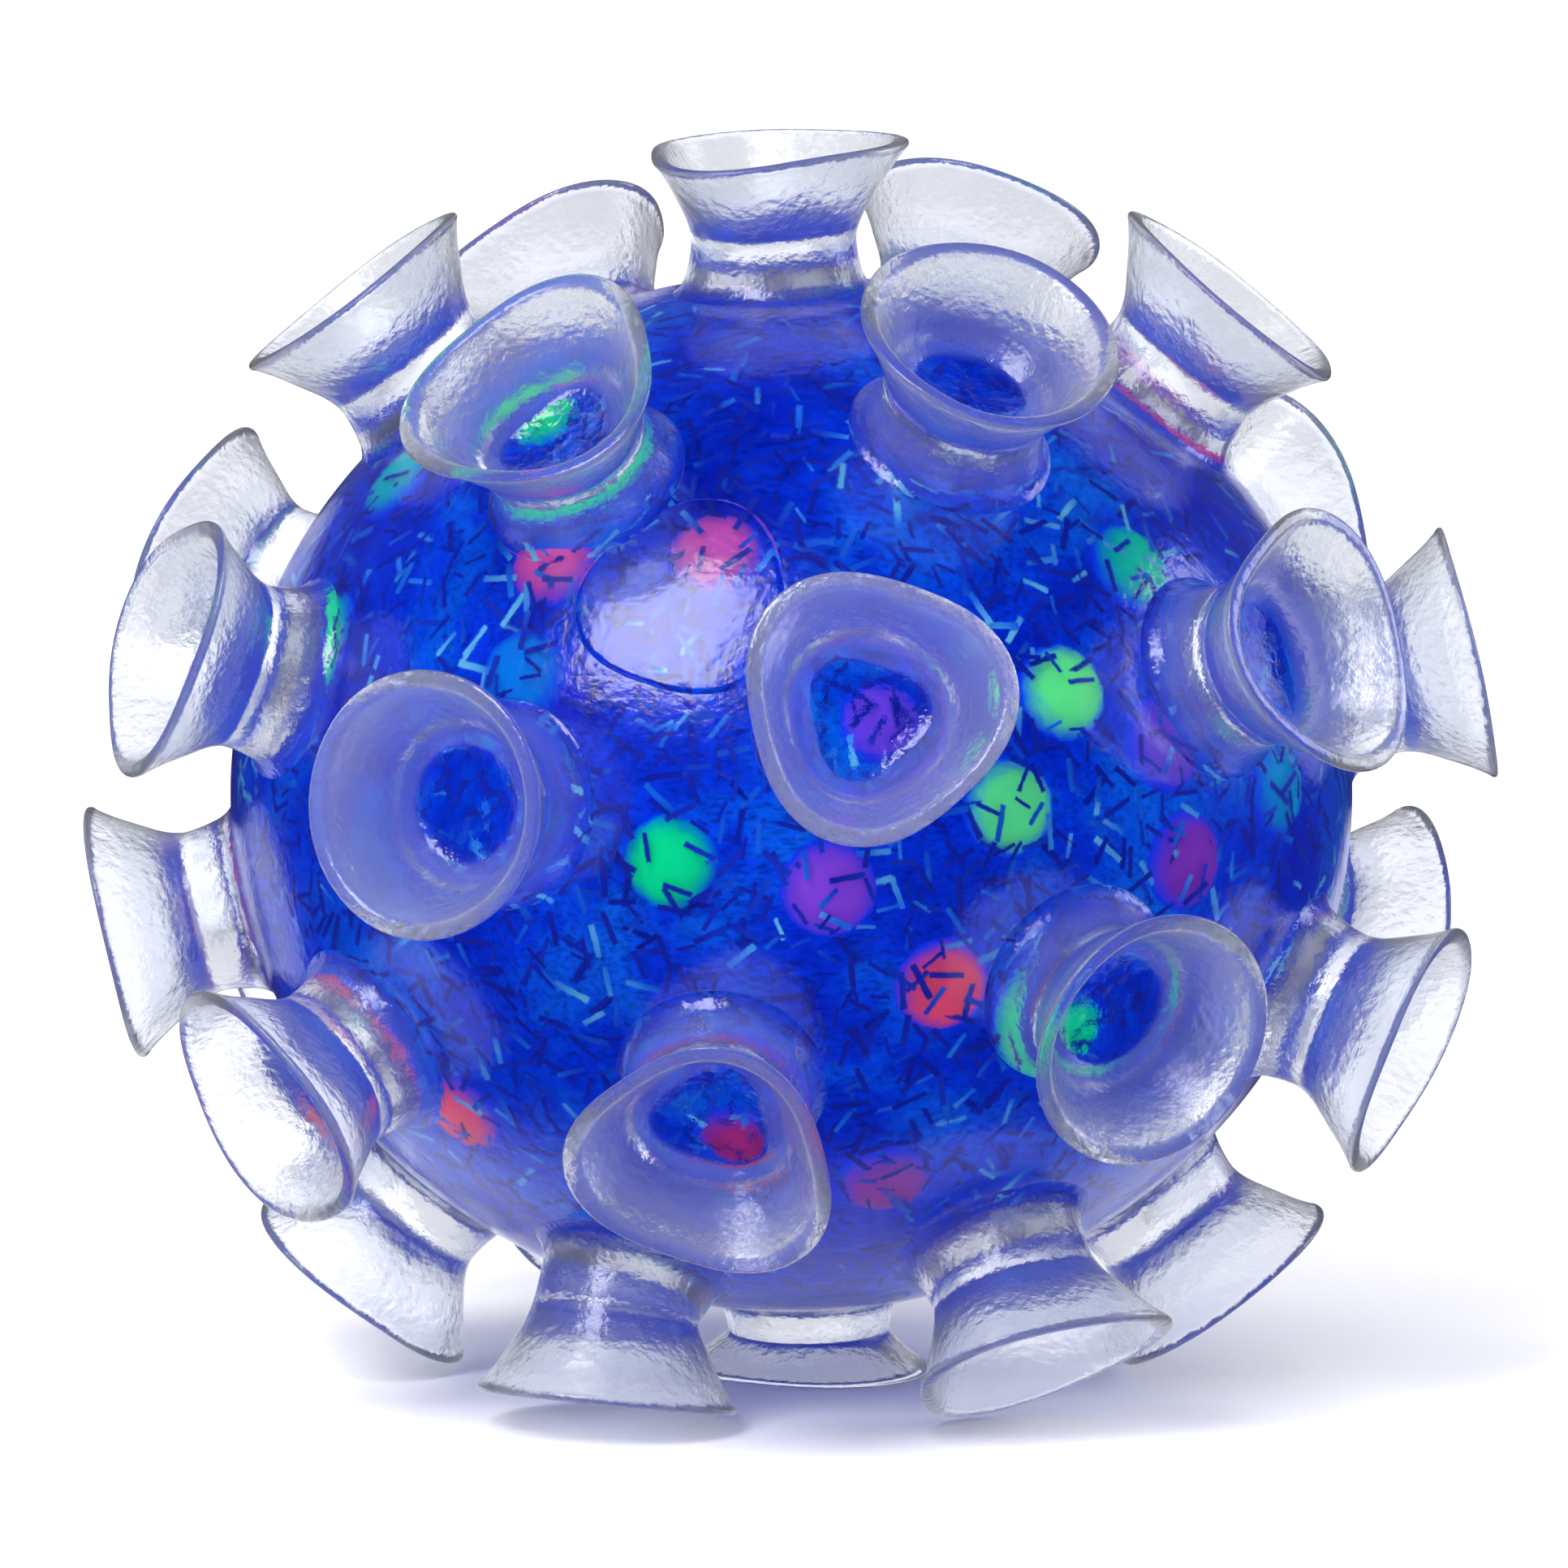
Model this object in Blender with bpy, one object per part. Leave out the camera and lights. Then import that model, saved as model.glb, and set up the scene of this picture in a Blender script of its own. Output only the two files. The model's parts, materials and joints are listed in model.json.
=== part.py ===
"""A gel-filled squeeze ball covered with thirty-two clear suction cups.

The frame's origin is the ball's centre and +Z is up. The ball stands on the cup under it,
which its weight presses flat. Twelve cups have round mouths and sit where an icosahedron has its
corners. Twenty have three-lobed mouths and sit where the matching dodecahedron has its corners.
Each cup ends in a ball-shaped stub that sits in a dished foot of the skin and flexes about the
stub's centre. Lengths are in metres and angles in degrees, unless a name says otherwise.
"""

import math

import bmesh
import bpy
from mathutils import Matrix, Vector

# Ball
BALL_RADIUS = 0.0350
BALL_SQUASH = 0.924
SKIN_WALL = 0.0020
GAP = 0.0003
DISH_GAP = 0.0001
GEL_GAP = 0.0004
BALL_SEGMENTS = 28
BALL_RINGS = 14

# Cup pattern: two small tilts off the vertical, then a turn about it
PATTERN_TILT_X = 5.7
PATTERN_TILT_Y = 1.3
PATTERN_TURN = -30.2

# Cups, with heights along the cup's axis from the ball's surface
CUP_HEIGHT = 0.0087
MOUTH_RADIUS = 0.0081
MOUTH_LOBES = 0.075
RIM_EDGE = 0.0004
WALL_AT_RIM = 0.0009
HOLLOW_RADIUS = 0.0036
HOLLOW_DEPTH = 0.0051
HOLLOW_DISH = 0.0004
NECK_RADIUS = 0.0048
PIVOT_HEIGHT = 0.0040
STUB_RING_ANGLES = (35.0, 65.0)
ROUND_SEGMENTS = 15
LOBED_SEGMENTS = 15

# Dished feet on the skin
FOOT_HEIGHT = 0.0016
FOOT_TOP_RADIUS = 0.0056
FOOT_BASE_RADIUS = 0.0068
FOOT_ROOT_DEPTH = 0.0015
FOOT_SEGMENTS = 12
DISH_RINGS = 6

# Stance: the bottom cup is flat on the table and its neighbours lean clear of it
FLAT_CUP_HEIGHT = 0.0047
TABLE_CLEARANCE = 0.0001
LEAN_PER_METRE = 9000.0

# Fill plug: a three-lobed flange let into the skin, on a round stem through it
PORT_AZIMUTH = -12.0
PORT_ELEVATION = 28.5
PLUG_RADIUS = 0.0064
PLUG_LOBES = 0.07
PLUG_TURN = 73.0
PLUG_THICKNESS = 0.0010
PLUG_STEM_RADIUS = 0.0030
PLUG_STEM_LENGTH = 0.0018
PLUG_SEGMENTS = 24
STEM_SEGMENTS = 16

# Beads, each in a pocket that opens at the gel's surface
BEAD_RADIUS = 0.0029
BEAD_DEPTH = 0.00295
BEAD_SUBDIVISIONS = 2
POCKET_RADIUS = BEAD_RADIUS * 1.29
POCKET_SUBDIVISIONS = 1

# Each bead's colour, azimuth from the front (-Y) towards +X, and elevation
BEADS = (
    ("green", -72, 41),
    ("green", -67, 21),
    ("green", -13, -1),
    ("green", 48, 32),
    ("lime", 32, 18),
    ("lime", 24, 5),
    ("green", 64, 4),
    ("green", 31, -22),
    ("green", -32, 20),
    ("green", -46, 52),
    ("pink", -32, 34),
    ("pink", -10, 36),
    ("coral", 10, 15),
    ("coral", 4, -4),
    ("coral", 17, -16),
    ("magenta", 47, -3),
    ("coral", -48, -35),
    ("magenta", 14, -44),
    ("magenta", 45, 11),
    ("coral", -76, -35),
    ("magenta", -6, -36),
    ("lime", 125, 25),
    ("pink", 170, 5),
    ("magenta", -140, -20),
)

BEAD_COLOURS = {
    "green": (0.0, 0.62, 0.24, 1.0),
    "lime": (0.12, 0.75, 0.16, 1.0),
    "pink": (0.85, 0.10, 0.38, 1.0),
    "coral": (0.86, 0.09, 0.10, 1.0),
    "magenta": (0.45, 0.03, 0.33, 1.0),
}

BALL_HALF_HEIGHT = BALL_RADIUS * BALL_SQUASH
TABLE_Z = -(BALL_HALF_HEIGHT + FLAT_CUP_HEIGHT)
CUP_REACH = CUP_HEIGHT - PIVOT_HEIGHT
GOLDEN = (1.0 + math.sqrt(5.0)) / 2.0
UP = Vector((0.0, 0.0, 1.0))


# --- scene helpers -----------------------------------------------------------------------------


def clear_scene():
    """Remove every object and collection of the scene."""
    for item in list(bpy.data.objects):
        bpy.data.objects.remove(item, do_unlink=True)
    for item in list(bpy.data.collections):
        bpy.data.collections.remove(item)


def new_collection(name):
    """Return a new collection linked to the scene."""
    collection = bpy.data.collections.new(name)
    bpy.context.scene.collection.children.link(collection)
    return collection


def new_material(name, colour, roughness, metallic=0.0, transmission=0.0):
    """Return a Principled material."""
    material = bpy.data.materials.new(name)
    material.use_nodes = True
    shader = material.node_tree.nodes["Principled BSDF"]
    shader.inputs["Base Color"].default_value = colour
    shader.inputs["Roughness"].default_value = roughness
    shader.inputs["Metallic"].default_value = metallic
    shader.inputs["Transmission Weight"].default_value = transmission
    material.diffuse_color = colour
    return material


def new_object(name, bm, collection, material=None, sharp_angle=50.0):
    """Turn a bmesh into a smooth-shaded object and free the bmesh."""
    mesh = bpy.data.meshes.new(name)
    bm.to_mesh(mesh)
    bm.free()
    mesh.shade_smooth()
    mesh.set_sharp_from_angle(angle=math.radians(sharp_angle))
    item = bpy.data.objects.new(name, mesh)
    collection.objects.link(item)
    if material is not None:
        mesh.materials.append(material)
    return item


def as_cutter(item):
    """Keep an object as a tool only: the build leaves it out."""
    item.hide_render = True
    item.display_type = "WIRE"
    return item


def boolean(item, cutter, operation):
    """Add an exact Boolean modifier."""
    modifier = item.modifiers.new(cutter.name, "BOOLEAN")
    modifier.operation = operation
    modifier.solver = "EXACT"
    modifier.object = cutter


# --- geometry of the pattern -------------------------------------------------------------------


def signed(values):
    """Return every vector whose three numbers are plus or minus the given ones, each once."""
    found = {
        (sx * values[0] + 0.0, sy * values[1] + 0.0, sz * values[2] + 0.0)
        for sx in (-1.0, 1.0)
        for sy in (-1.0, 1.0)
        for sz in (-1.0, 1.0)
    }
    return [Vector(v).normalized() for v in sorted(found)]


def icosahedron_corners():
    """Return the twelve corner directions of an icosahedron."""
    corners = []
    for values in ((0.0, 1.0, GOLDEN), (1.0, GOLDEN, 0.0), (GOLDEN, 0.0, 1.0)):
        corners += signed(values)
    return corners


def dodecahedron_corners():
    """Return the twenty corner directions of the dodecahedron that matches the icosahedron."""
    corners = signed((1.0, 1.0, 1.0))
    short = 1.0 / GOLDEN
    for values in ((short, 0.0, GOLDEN), (0.0, GOLDEN, short), (GOLDEN, short, 0.0)):
        corners += signed(values)
    return corners


def neighbours(direction, others, count):
    """Return the directions nearest to one direction, itself left out."""
    ordered = sorted((o for o in others if o.dot(direction) < 0.999), key=lambda o: -o.dot(direction))
    return ordered[:count]


def pattern_rotation(lobed):
    """Return the rotation that puts one lobed cup near the top and the next towards the front."""
    pole = Vector((1.0, 1.0, 1.0)).normalized()
    towards = neighbours(pole, lobed, 3)[0]
    front = (towards - pole * towards.dot(pole)).normalized()
    back = -front
    side = back.cross(pole)
    upright = Matrix((side, back, pole)).to_4x4()
    tilt_x = Matrix.Rotation(math.radians(PATTERN_TILT_X), 4, "X")
    tilt_y = Matrix.Rotation(math.radians(PATTERN_TILT_Y), 4, "Y")
    turn = Matrix.Rotation(math.radians(PATTERN_TURN), 4, "Z")
    return turn @ tilt_y @ tilt_x @ upright


def surface_point(direction, inset=0.0):
    """Return the point and outward normal of the ball's surface, or of one inset below it."""
    wide = BALL_RADIUS - inset
    tall = BALL_HALF_HEIGHT - inset
    point = Vector((direction.x * wide, direction.y * wide, direction.z * tall))
    normal = Vector((direction.x / wide, direction.y / wide, direction.z / tall)).normalized()
    return point, normal


def polar_direction(azimuth, elevation):
    """Return the direction at an azimuth from -Y towards +X and an elevation."""
    around = math.radians(azimuth)
    above = math.radians(elevation)
    level = math.cos(above)
    return Vector((math.sin(around) * level, -math.cos(around) * level, math.sin(above)))


def frame_matrix(origin, axis, towards):
    """Return a placement with local Z along axis and local X turned towards a direction."""
    side = (towards - axis * towards.dot(axis)).normalized()
    rotation = Matrix((side, axis.cross(side), axis)).transposed().to_4x4()
    return Matrix.Translation(origin) @ rotation


def cup_stance(direction, lobes):
    """Return the pivot, axis and reach of a cup, flattened or leaning if the table is in its way.

    The reach is the distance along the axis from the pivot to the plane of the rim.
    """
    point, normal = surface_point(direction)
    pivot = point + normal * PIVOT_HEIGHT
    widest = MOUTH_RADIUS * (1.0 + lobes)
    lowest = pivot.z + CUP_REACH * normal.z - widest * math.hypot(normal.x, normal.y)
    shortfall = TABLE_Z + TABLE_CLEARANCE - lowest
    if normal.z > 0.0 or shortfall <= 0.0:
        return pivot, normal, CUP_REACH
    from_down = normal.angle(-UP)
    lean = min(math.radians(LEAN_PER_METRE * shortfall), from_down)
    axis = Matrix.Rotation(lean, 3, normal.cross(-UP)) @ normal
    upright = lean == from_down
    clearance = 0.0 if upright else TABLE_CLEARANCE
    room = pivot.z - TABLE_Z - clearance - widest * math.hypot(axis.x, axis.y)
    return pivot, axis.normalized(), min(CUP_REACH, room / abs(axis.z))


# --- shapes ------------------------------------------------------------------------------------


def loft(rings, bottom, top):
    """Return a closed bmesh skinned over rings of points, closed by a point at each end."""
    bm = bmesh.new()
    rows = [[bm.verts.new(point) for point in ring] for ring in rings]
    count = len(rows[0])
    first = bm.verts.new(bottom)
    last = bm.verts.new(top)
    for k in range(count):
        after = (k + 1) % count
        bm.faces.new((first, rows[0][after], rows[0][k]))
        bm.faces.new((last, rows[-1][k], rows[-1][after]))
        for low, high in zip(rows, rows[1:]):
            bm.faces.new((low[k], low[after], high[after], high[k]))
    bmesh.ops.recalc_face_normals(bm, faces=bm.faces)
    return bm


def lobed_ring(radius, height, lobes, segments):
    """Return a ring of points whose radius swells three times round."""
    points = []
    for k in range(segments):
        around = math.tau * k / segments
        reach = radius * (1.0 + lobes * math.cos(3.0 * around))
        points.append((reach * math.cos(around), reach * math.sin(around), height))
    return points


def cup_mesh(reach, lobes, segments):
    """Return the bmesh of a cup about its pivot, with its mouth at the given reach."""
    seat = -NECK_RADIUS * math.cos(math.radians(STUB_RING_ANGLES[-1]))
    squeeze = (reach - seat) / (CUP_REACH - seat)

    def level(height):
        return seat + (height - seat) * squeeze

    rings = []
    for angle in STUB_RING_ANGLES:
        polar = math.radians(angle)
        rings.append(lobed_ring(NECK_RADIUS * math.sin(polar), -NECK_RADIUS * math.cos(polar), 0.0, segments))
    rings.append(lobed_ring(NECK_RADIUS, level(0.0), lobes * 0.15, segments))
    rings.append(lobed_ring(MOUTH_RADIUS, level(CUP_REACH - RIM_EDGE), lobes, segments))
    rings.append(lobed_ring(MOUTH_RADIUS - RIM_EDGE * 0.5, reach, lobes, segments))
    rings.append(lobed_ring(MOUTH_RADIUS - WALL_AT_RIM, reach, lobes, segments))
    floor = CUP_REACH - HOLLOW_DEPTH
    rings.append(lobed_ring(HOLLOW_RADIUS, level(floor), lobes * 1.5, segments))
    return loft(rings, (0.0, 0.0, -NECK_RADIUS), (0.0, 0.0, level(floor - HOLLOW_DISH)))


def spheroid_mesh(inset):
    """Return the bmesh of the ball's surface, or of one inset below it."""
    bm = bmesh.new()
    bmesh.ops.create_uvsphere(
        bm, u_segments=BALL_SEGMENTS, v_segments=BALL_RINGS, radius=BALL_RADIUS - inset
    )
    tall = (BALL_HALF_HEIGHT - inset) / (BALL_RADIUS - inset)
    bmesh.ops.scale(bm, vec=(1.0, 1.0, tall), verts=bm.verts)
    return bm


def foot_mesh(placements):
    """Return one bmesh with a tapered foot at each placement, rooted in the skin."""
    bm = bmesh.new()
    depth = FOOT_HEIGHT + FOOT_ROOT_DEPTH
    middle = Matrix.Translation((0.0, 0.0, (FOOT_HEIGHT - FOOT_ROOT_DEPTH) / 2.0))
    for place in placements:
        bmesh.ops.create_cone(
            bm,
            cap_ends=True,
            segments=FOOT_SEGMENTS,
            radius1=FOOT_BASE_RADIUS,
            radius2=FOOT_TOP_RADIUS,
            depth=depth,
            matrix=place @ middle,
        )
    return bm


def dish_mesh(placements):
    """Return one bmesh with a ball at each placement's pivot that clears the cup's stub."""
    bm = bmesh.new()
    lift = Matrix.Translation((0.0, 0.0, PIVOT_HEIGHT))
    flats = math.cos(math.pi / FOOT_SEGMENTS) * math.cos(math.pi / (2 * DISH_RINGS))
    for place in placements:
        bmesh.ops.create_uvsphere(
            bm,
            u_segments=FOOT_SEGMENTS,
            v_segments=DISH_RINGS,
            radius=(NECK_RADIUS + DISH_GAP) / flats,
            matrix=place @ lift,
        )
    return bm


def prism_mesh(radius, lobes, low, high, segments):
    """Return the bmesh of an upright prism with a lobed outline."""
    rings = [
        lobed_ring(radius, low, lobes, segments),
        lobed_ring(radius, high, lobes, segments),
    ]
    return loft(rings, (0.0, 0.0, low), (0.0, 0.0, high))


def bead_mesh():
    """Return the bmesh of a bead with a corner on its local Z axis."""
    bm = bmesh.new()
    bmesh.ops.create_icosphere(bm, subdivisions=BEAD_SUBDIVISIONS, radius=BEAD_RADIUS)
    return bm


# --- the pieces --------------------------------------------------------------------------------


def plan_cups():
    """Return each cup's name, lobes, segments, direction and foot placement, top to bottom."""
    round_corners = icosahedron_corners()
    lobed_corners = dodecahedron_corners()
    turn = pattern_rotation(lobed_corners).to_3x3()
    round_corners = [turn @ c for c in round_corners]
    lobed_corners = [turn @ c for c in lobed_corners]
    plans = []
    for kind, corners, lobes, segments in (
        ("round_cup", round_corners, 0.0, ROUND_SEGMENTS),
        ("lobed_cup", lobed_corners, MOUTH_LOBES, LOBED_SEGMENTS),
    ):
        ordered = sorted(corners, key=lambda c: -c.z)
        for number, direction in enumerate(ordered, start=1):
            towards = neighbours(direction, lobed_corners, 3)[0] - direction
            point, normal = surface_point(direction)
            place = frame_matrix(point, normal, towards)
            plans.append((f"{kind}_{number:02d}", lobes, segments, direction, place))
    return plans


def build_skin(plans, parts, cutters, material):
    """Build the hollow skin with its dished feet and the seat of the fill plug."""
    placements = [plan[4] for plan in plans]
    skin = new_object("skin", spheroid_mesh(0.0), parts, material)
    feet = as_cutter(new_object("cut_feet", foot_mesh(placements), cutters))
    cavity = as_cutter(new_object("cut_cavity", spheroid_mesh(SKIN_WALL), cutters))
    dishes = as_cutter(new_object("cut_dishes", dish_mesh(placements), cutters))
    boolean(skin, feet, "UNION")
    boolean(skin, cavity, "DIFFERENCE")
    boolean(skin, dishes, "DIFFERENCE")

    point, normal = surface_point(polar_direction(PORT_AZIMUTH, PORT_ELEVATION))
    port = frame_matrix(point, normal, UP) @ Matrix.Rotation(math.radians(PLUG_TURN - 90.0), 4, "Z")
    below = -4.0 * PLUG_THICKNESS
    above = 4.0 * PLUG_THICKNESS
    recess = new_object(
        "cut_recess", prism_mesh(PLUG_RADIUS + GAP, PLUG_LOBES, below, above, PLUG_SEGMENTS), cutters
    )
    recess_floor = as_cutter(
        new_object("cut_recess_floor", spheroid_mesh(PLUG_THICKNESS + GAP), cutters)
    )
    recess.matrix_world = port
    boolean(recess, recess_floor, "DIFFERENCE")
    boolean(skin, as_cutter(recess), "DIFFERENCE")
    stem_hole = new_object(
        "cut_stem_hole",
        prism_mesh(PLUG_STEM_RADIUS + GAP, 0.0, -3.0 * SKIN_WALL, SKIN_WALL, STEM_SEGMENTS),
        cutters,
    )
    stem_hole.matrix_world = port
    boolean(skin, as_cutter(stem_hole), "DIFFERENCE")
    return port


def build_plug(port, parts, cutters, material):
    """Build the fill plug: a curved flange flush with the skin, on a stem."""
    below = -4.0 * PLUG_THICKNESS
    above = 4.0 * PLUG_THICKNESS
    plug = new_object(
        "fill_plug", prism_mesh(PLUG_RADIUS, PLUG_LOBES, below, above, PLUG_SEGMENTS), parts, material
    )
    plug.matrix_world = port
    outside = as_cutter(new_object("cut_plug_outside", spheroid_mesh(0.0), cutters))
    inside = as_cutter(new_object("cut_plug_inside", spheroid_mesh(PLUG_THICKNESS), cutters))
    stem = new_object(
        "cut_plug_stem",
        prism_mesh(PLUG_STEM_RADIUS, 0.0, -PLUG_STEM_LENGTH, -0.5 * PLUG_THICKNESS, STEM_SEGMENTS),
        cutters,
    )
    stem.matrix_world = port
    boolean(plug, outside, "INTERSECT")
    boolean(plug, inside, "DIFFERENCE")
    boolean(plug, as_cutter(stem), "UNION")


def build_cups(plans, parts, material):
    """Build the cups, each with its origin on its pivot."""
    for name, lobes, segments, direction, place in plans:
        pivot, axis, reach = cup_stance(direction, lobes)
        towards = place.to_3x3().col[0]
        cup = new_object(name, cup_mesh(reach, lobes, segments), parts, material)
        cup.matrix_world = frame_matrix(pivot, axis, towards)


def build_gel(parts, cutters, gel_material, bead_materials):
    """Build the gel, with a pocket for each bead, and the beads."""
    gel_inset = SKIN_WALL + GEL_GAP
    gel = new_object("gel_fill", spheroid_mesh(gel_inset), parts, gel_material)
    pockets = bmesh.new()
    counts = {}
    for colour, azimuth, elevation in BEADS:
        point, normal = surface_point(polar_direction(azimuth, elevation), gel_inset)
        place = frame_matrix(point - normal * BEAD_DEPTH, normal, UP)
        counts[colour] = counts.get(colour, 0) + 1
        bead = new_object(
            f"bead_{colour}_{counts[colour]:02d}",
            bead_mesh(),
            parts,
            bead_materials[colour],
            sharp_angle=180.0,
        )
        bead.matrix_world = place
        bmesh.ops.create_icosphere(
            pockets,
            subdivisions=POCKET_SUBDIVISIONS,
            radius=POCKET_RADIUS,
            matrix=place,
        )
    boolean(gel, as_cutter(new_object("cut_pockets", pockets, cutters)), "DIFFERENCE")


def main():
    """Build the ball."""
    clear_scene()
    parts = new_collection("squeeze_ball")
    cutters = new_collection("cutters")
    clear_tpr = new_material("clear_tpr", (0.86, 0.87, 0.93, 1.0), 0.15, transmission=0.8)
    tinted_tpr = new_material("blue_tinted_tpr", (0.02, 0.08, 0.55, 1.0), 0.15)
    plug_tpr = new_material("plug_tpr", (0.05, 0.12, 0.60, 1.0), 0.2)
    gel = new_material("blue_gel", (0.0, 0.02, 0.40, 1.0), 0.3)
    bead_materials = {
        name: new_material(f"{name}_bead", colour, 0.35) for name, colour in BEAD_COLOURS.items()
    }
    plans = plan_cups()
    port = build_skin(plans, parts, cutters, tinted_tpr)
    build_plug(port, parts, cutters, plug_tpr)
    build_cups(plans, parts, clear_tpr)
    build_gel(parts, cutters, gel, bead_materials)


main()
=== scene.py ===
"""Looks of the gel-filled squeeze ball with suction cups.

The ball is a clear moulded skin over deep blue glitter gel. Thirty-two clear cups are bonded to
it. Skin, cups and gel share one refractive index, so light passes from one to the next without a
visible border: only their outer surfaces show. Lengths are in metres.
"""

import json
import logging
import math
from dataclasses import dataclass, field
from enum import Enum

import bpy
import numpy as np
from mathutils import Matrix, Vector

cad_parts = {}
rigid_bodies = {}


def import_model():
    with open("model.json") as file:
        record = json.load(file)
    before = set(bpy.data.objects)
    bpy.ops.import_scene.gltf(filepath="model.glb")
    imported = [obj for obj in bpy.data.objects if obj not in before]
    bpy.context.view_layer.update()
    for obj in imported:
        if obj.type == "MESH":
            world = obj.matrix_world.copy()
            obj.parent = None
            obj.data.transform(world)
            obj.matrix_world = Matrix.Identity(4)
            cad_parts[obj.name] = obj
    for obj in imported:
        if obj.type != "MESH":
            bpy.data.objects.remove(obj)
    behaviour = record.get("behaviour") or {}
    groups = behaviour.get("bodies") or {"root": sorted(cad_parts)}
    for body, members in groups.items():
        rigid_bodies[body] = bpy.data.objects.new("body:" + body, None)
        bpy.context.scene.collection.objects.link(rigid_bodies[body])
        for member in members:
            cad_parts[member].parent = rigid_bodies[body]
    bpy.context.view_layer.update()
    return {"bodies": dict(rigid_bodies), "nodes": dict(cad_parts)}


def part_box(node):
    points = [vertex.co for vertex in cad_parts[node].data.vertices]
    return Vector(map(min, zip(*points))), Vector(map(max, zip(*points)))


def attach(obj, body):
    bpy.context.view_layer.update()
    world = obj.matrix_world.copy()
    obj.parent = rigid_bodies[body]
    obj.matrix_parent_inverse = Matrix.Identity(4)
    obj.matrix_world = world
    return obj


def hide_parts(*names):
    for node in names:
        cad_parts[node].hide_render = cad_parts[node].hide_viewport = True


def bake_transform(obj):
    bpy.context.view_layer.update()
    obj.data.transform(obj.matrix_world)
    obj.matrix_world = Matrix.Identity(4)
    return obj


Tree = bpy.types.NodeTree
Socket = bpy.types.NodeSocket
LOG = logging.getLogger("squeeze_ball")
MM = 0.001
GOLDEN = (1.0 + math.sqrt(5.0)) / 2.0
UP = Vector((0.0, 0.0, 1.0))
TPR_IOR = 1.47
BALL_SQUASH = 0.924
FOOT_EDGE = 6.35 * MM
BOND_LAP = 0.03 * MM
FRONT_DEPTH = 12.0 * MM
SAME_DIRECTION = 0.999


class CupKind(Enum):
    """The two mouths that the cups come in."""

    ROUND = "round_cup"
    LOBED = "lobed_cup"


class Joined(Enum):
    """Which part of a clear piece a face belongs to."""

    OUTSIDE = 0
    BONDED = 1


# --- small tools -------------------------------------------------------------------------------


def linear(code: str) -> tuple[float, float, float, float]:
    """Turn an sRGB hex colour into linear RGBA.

    Args:
        code: six hex digits.

    Returns:
        The four linear channels.
    """
    channels = []
    for start in (0, 2, 4):
        value = int(code[start : start + 2], 16) / 255.0
        low = value / 12.92
        high = ((value + 0.055) / 1.055) ** 2.4
        channels.append(low if value <= 0.04045 else high)
    return (channels[0], channels[1], channels[2], 1.0)


def add_node(tree: Tree, kind: str, settings: dict | None = None, **links) -> bpy.types.Node:
    """Add one node with its settings and inputs.

    Args:
        tree: the node tree.
        kind: the node's type name.
        settings: attributes of the node, by name.
        links: inputs by name (spaces as underscores) or as in0, in1 by number; each value is
            an output socket to link or a plain value.

    Returns:
        The new node.
    """
    node = tree.nodes.new(kind)
    for name, value in (settings or {}).items():
        setattr(node, name, value)
    for name, value in links.items():
        if name.startswith("in") and name[2:].isdigit():
            socket = node.inputs[int(name[2:])]
        else:
            socket = node.inputs[name.replace("_", " ")]
        if isinstance(value, Socket):
            tree.links.new(value, socket)
        else:
            socket.default_value = value
    return node


def blank_material(name: str) -> tuple[bpy.types.Material, Tree, bpy.types.Node]:
    """Make a material with nothing but a Principled shader.

    Returns:
        The material, its tree and its shader.
    """
    material = bpy.data.materials.new(name)
    material.use_nodes = True
    shader = material.node_tree.nodes["Principled BSDF"]
    return material, material.node_tree, shader


def colour_ramp(tree: Tree, factor: Socket, stops) -> Socket:
    """Add a colour ramp.

    Args:
        tree: the node tree.
        factor: what drives the ramp.
        stops: pairs of position and hex colour.

    Returns:
        The ramp's colour output.
    """
    node = add_node(tree, "ShaderNodeValToRGB", in0=factor)
    ramp = node.color_ramp
    while len(ramp.elements) < len(stops):
        ramp.elements.new(0.5)
    for element, (position, code) in zip(ramp.elements, stops):
        element.position = position
        element.color = linear(code)
    return node.outputs["Color"]


def mesh_object(
    name: str, points: np.ndarray, faces: list, slots: np.ndarray | None = None
) -> bpy.types.Object:
    """Make a smooth-shaded mesh object at the origin.

    Args:
        name: the object's name.
        points: one row of three coordinates per corner.
        faces: corner numbers of each face.
        slots: material slot of each face.

    Returns:
        The linked object.
    """
    mesh = bpy.data.meshes.new(name)
    mesh.from_pydata(points.tolist(), [], faces)
    if slots is not None:
        mesh.polygons.foreach_set("material_index", np.asarray(slots, dtype=np.int32))
    mesh.shade_smooth()
    mesh.update()
    item = bpy.data.objects.new(name, mesh)
    bpy.context.scene.collection.objects.link(item)
    return item


def set_attribute(item: bpy.types.Object, name: str, values: np.ndarray) -> None:
    """Store one number per corner on a mesh."""
    layer = item.data.attributes.new(name, "FLOAT", "POINT")
    layer.data.foreach_set("value", np.asarray(values, dtype=np.float32))


def ring_faces(rows: int, columns: int) -> list:
    """Return the quads of a tube of rings, the first ring first and faces pointing out."""
    faces = []
    for row in range(rows - 1):
        for k in range(columns):
            after = (k + 1) % columns
            low = row * columns
            high = low + columns
            faces.append((low + k, low + after, high + after, high + k))
    return faces


def capped_rings(rings: int, columns: int) -> tuple[list, list]:
    """Close a tube of rings, whose two cap middles come after its rings, the lower one first.

    Returns:
        The faces, and the slot of each: the first band and its cap are bonded, the rest is not.
    """
    faces = ring_faces(rings, columns)
    slots = [Joined.OUTSIDE.value] * len(faces)
    slots[:columns] = [Joined.BONDED.value] * columns
    low = rings * columns
    last = low - columns
    for k in range(columns):
        after = (k + 1) % columns
        faces += [(low, after, k), (low + 1, last + k, last + after)]
        slots += [Joined.BONDED.value, Joined.OUTSIDE.value]
    return faces, slots


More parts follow.
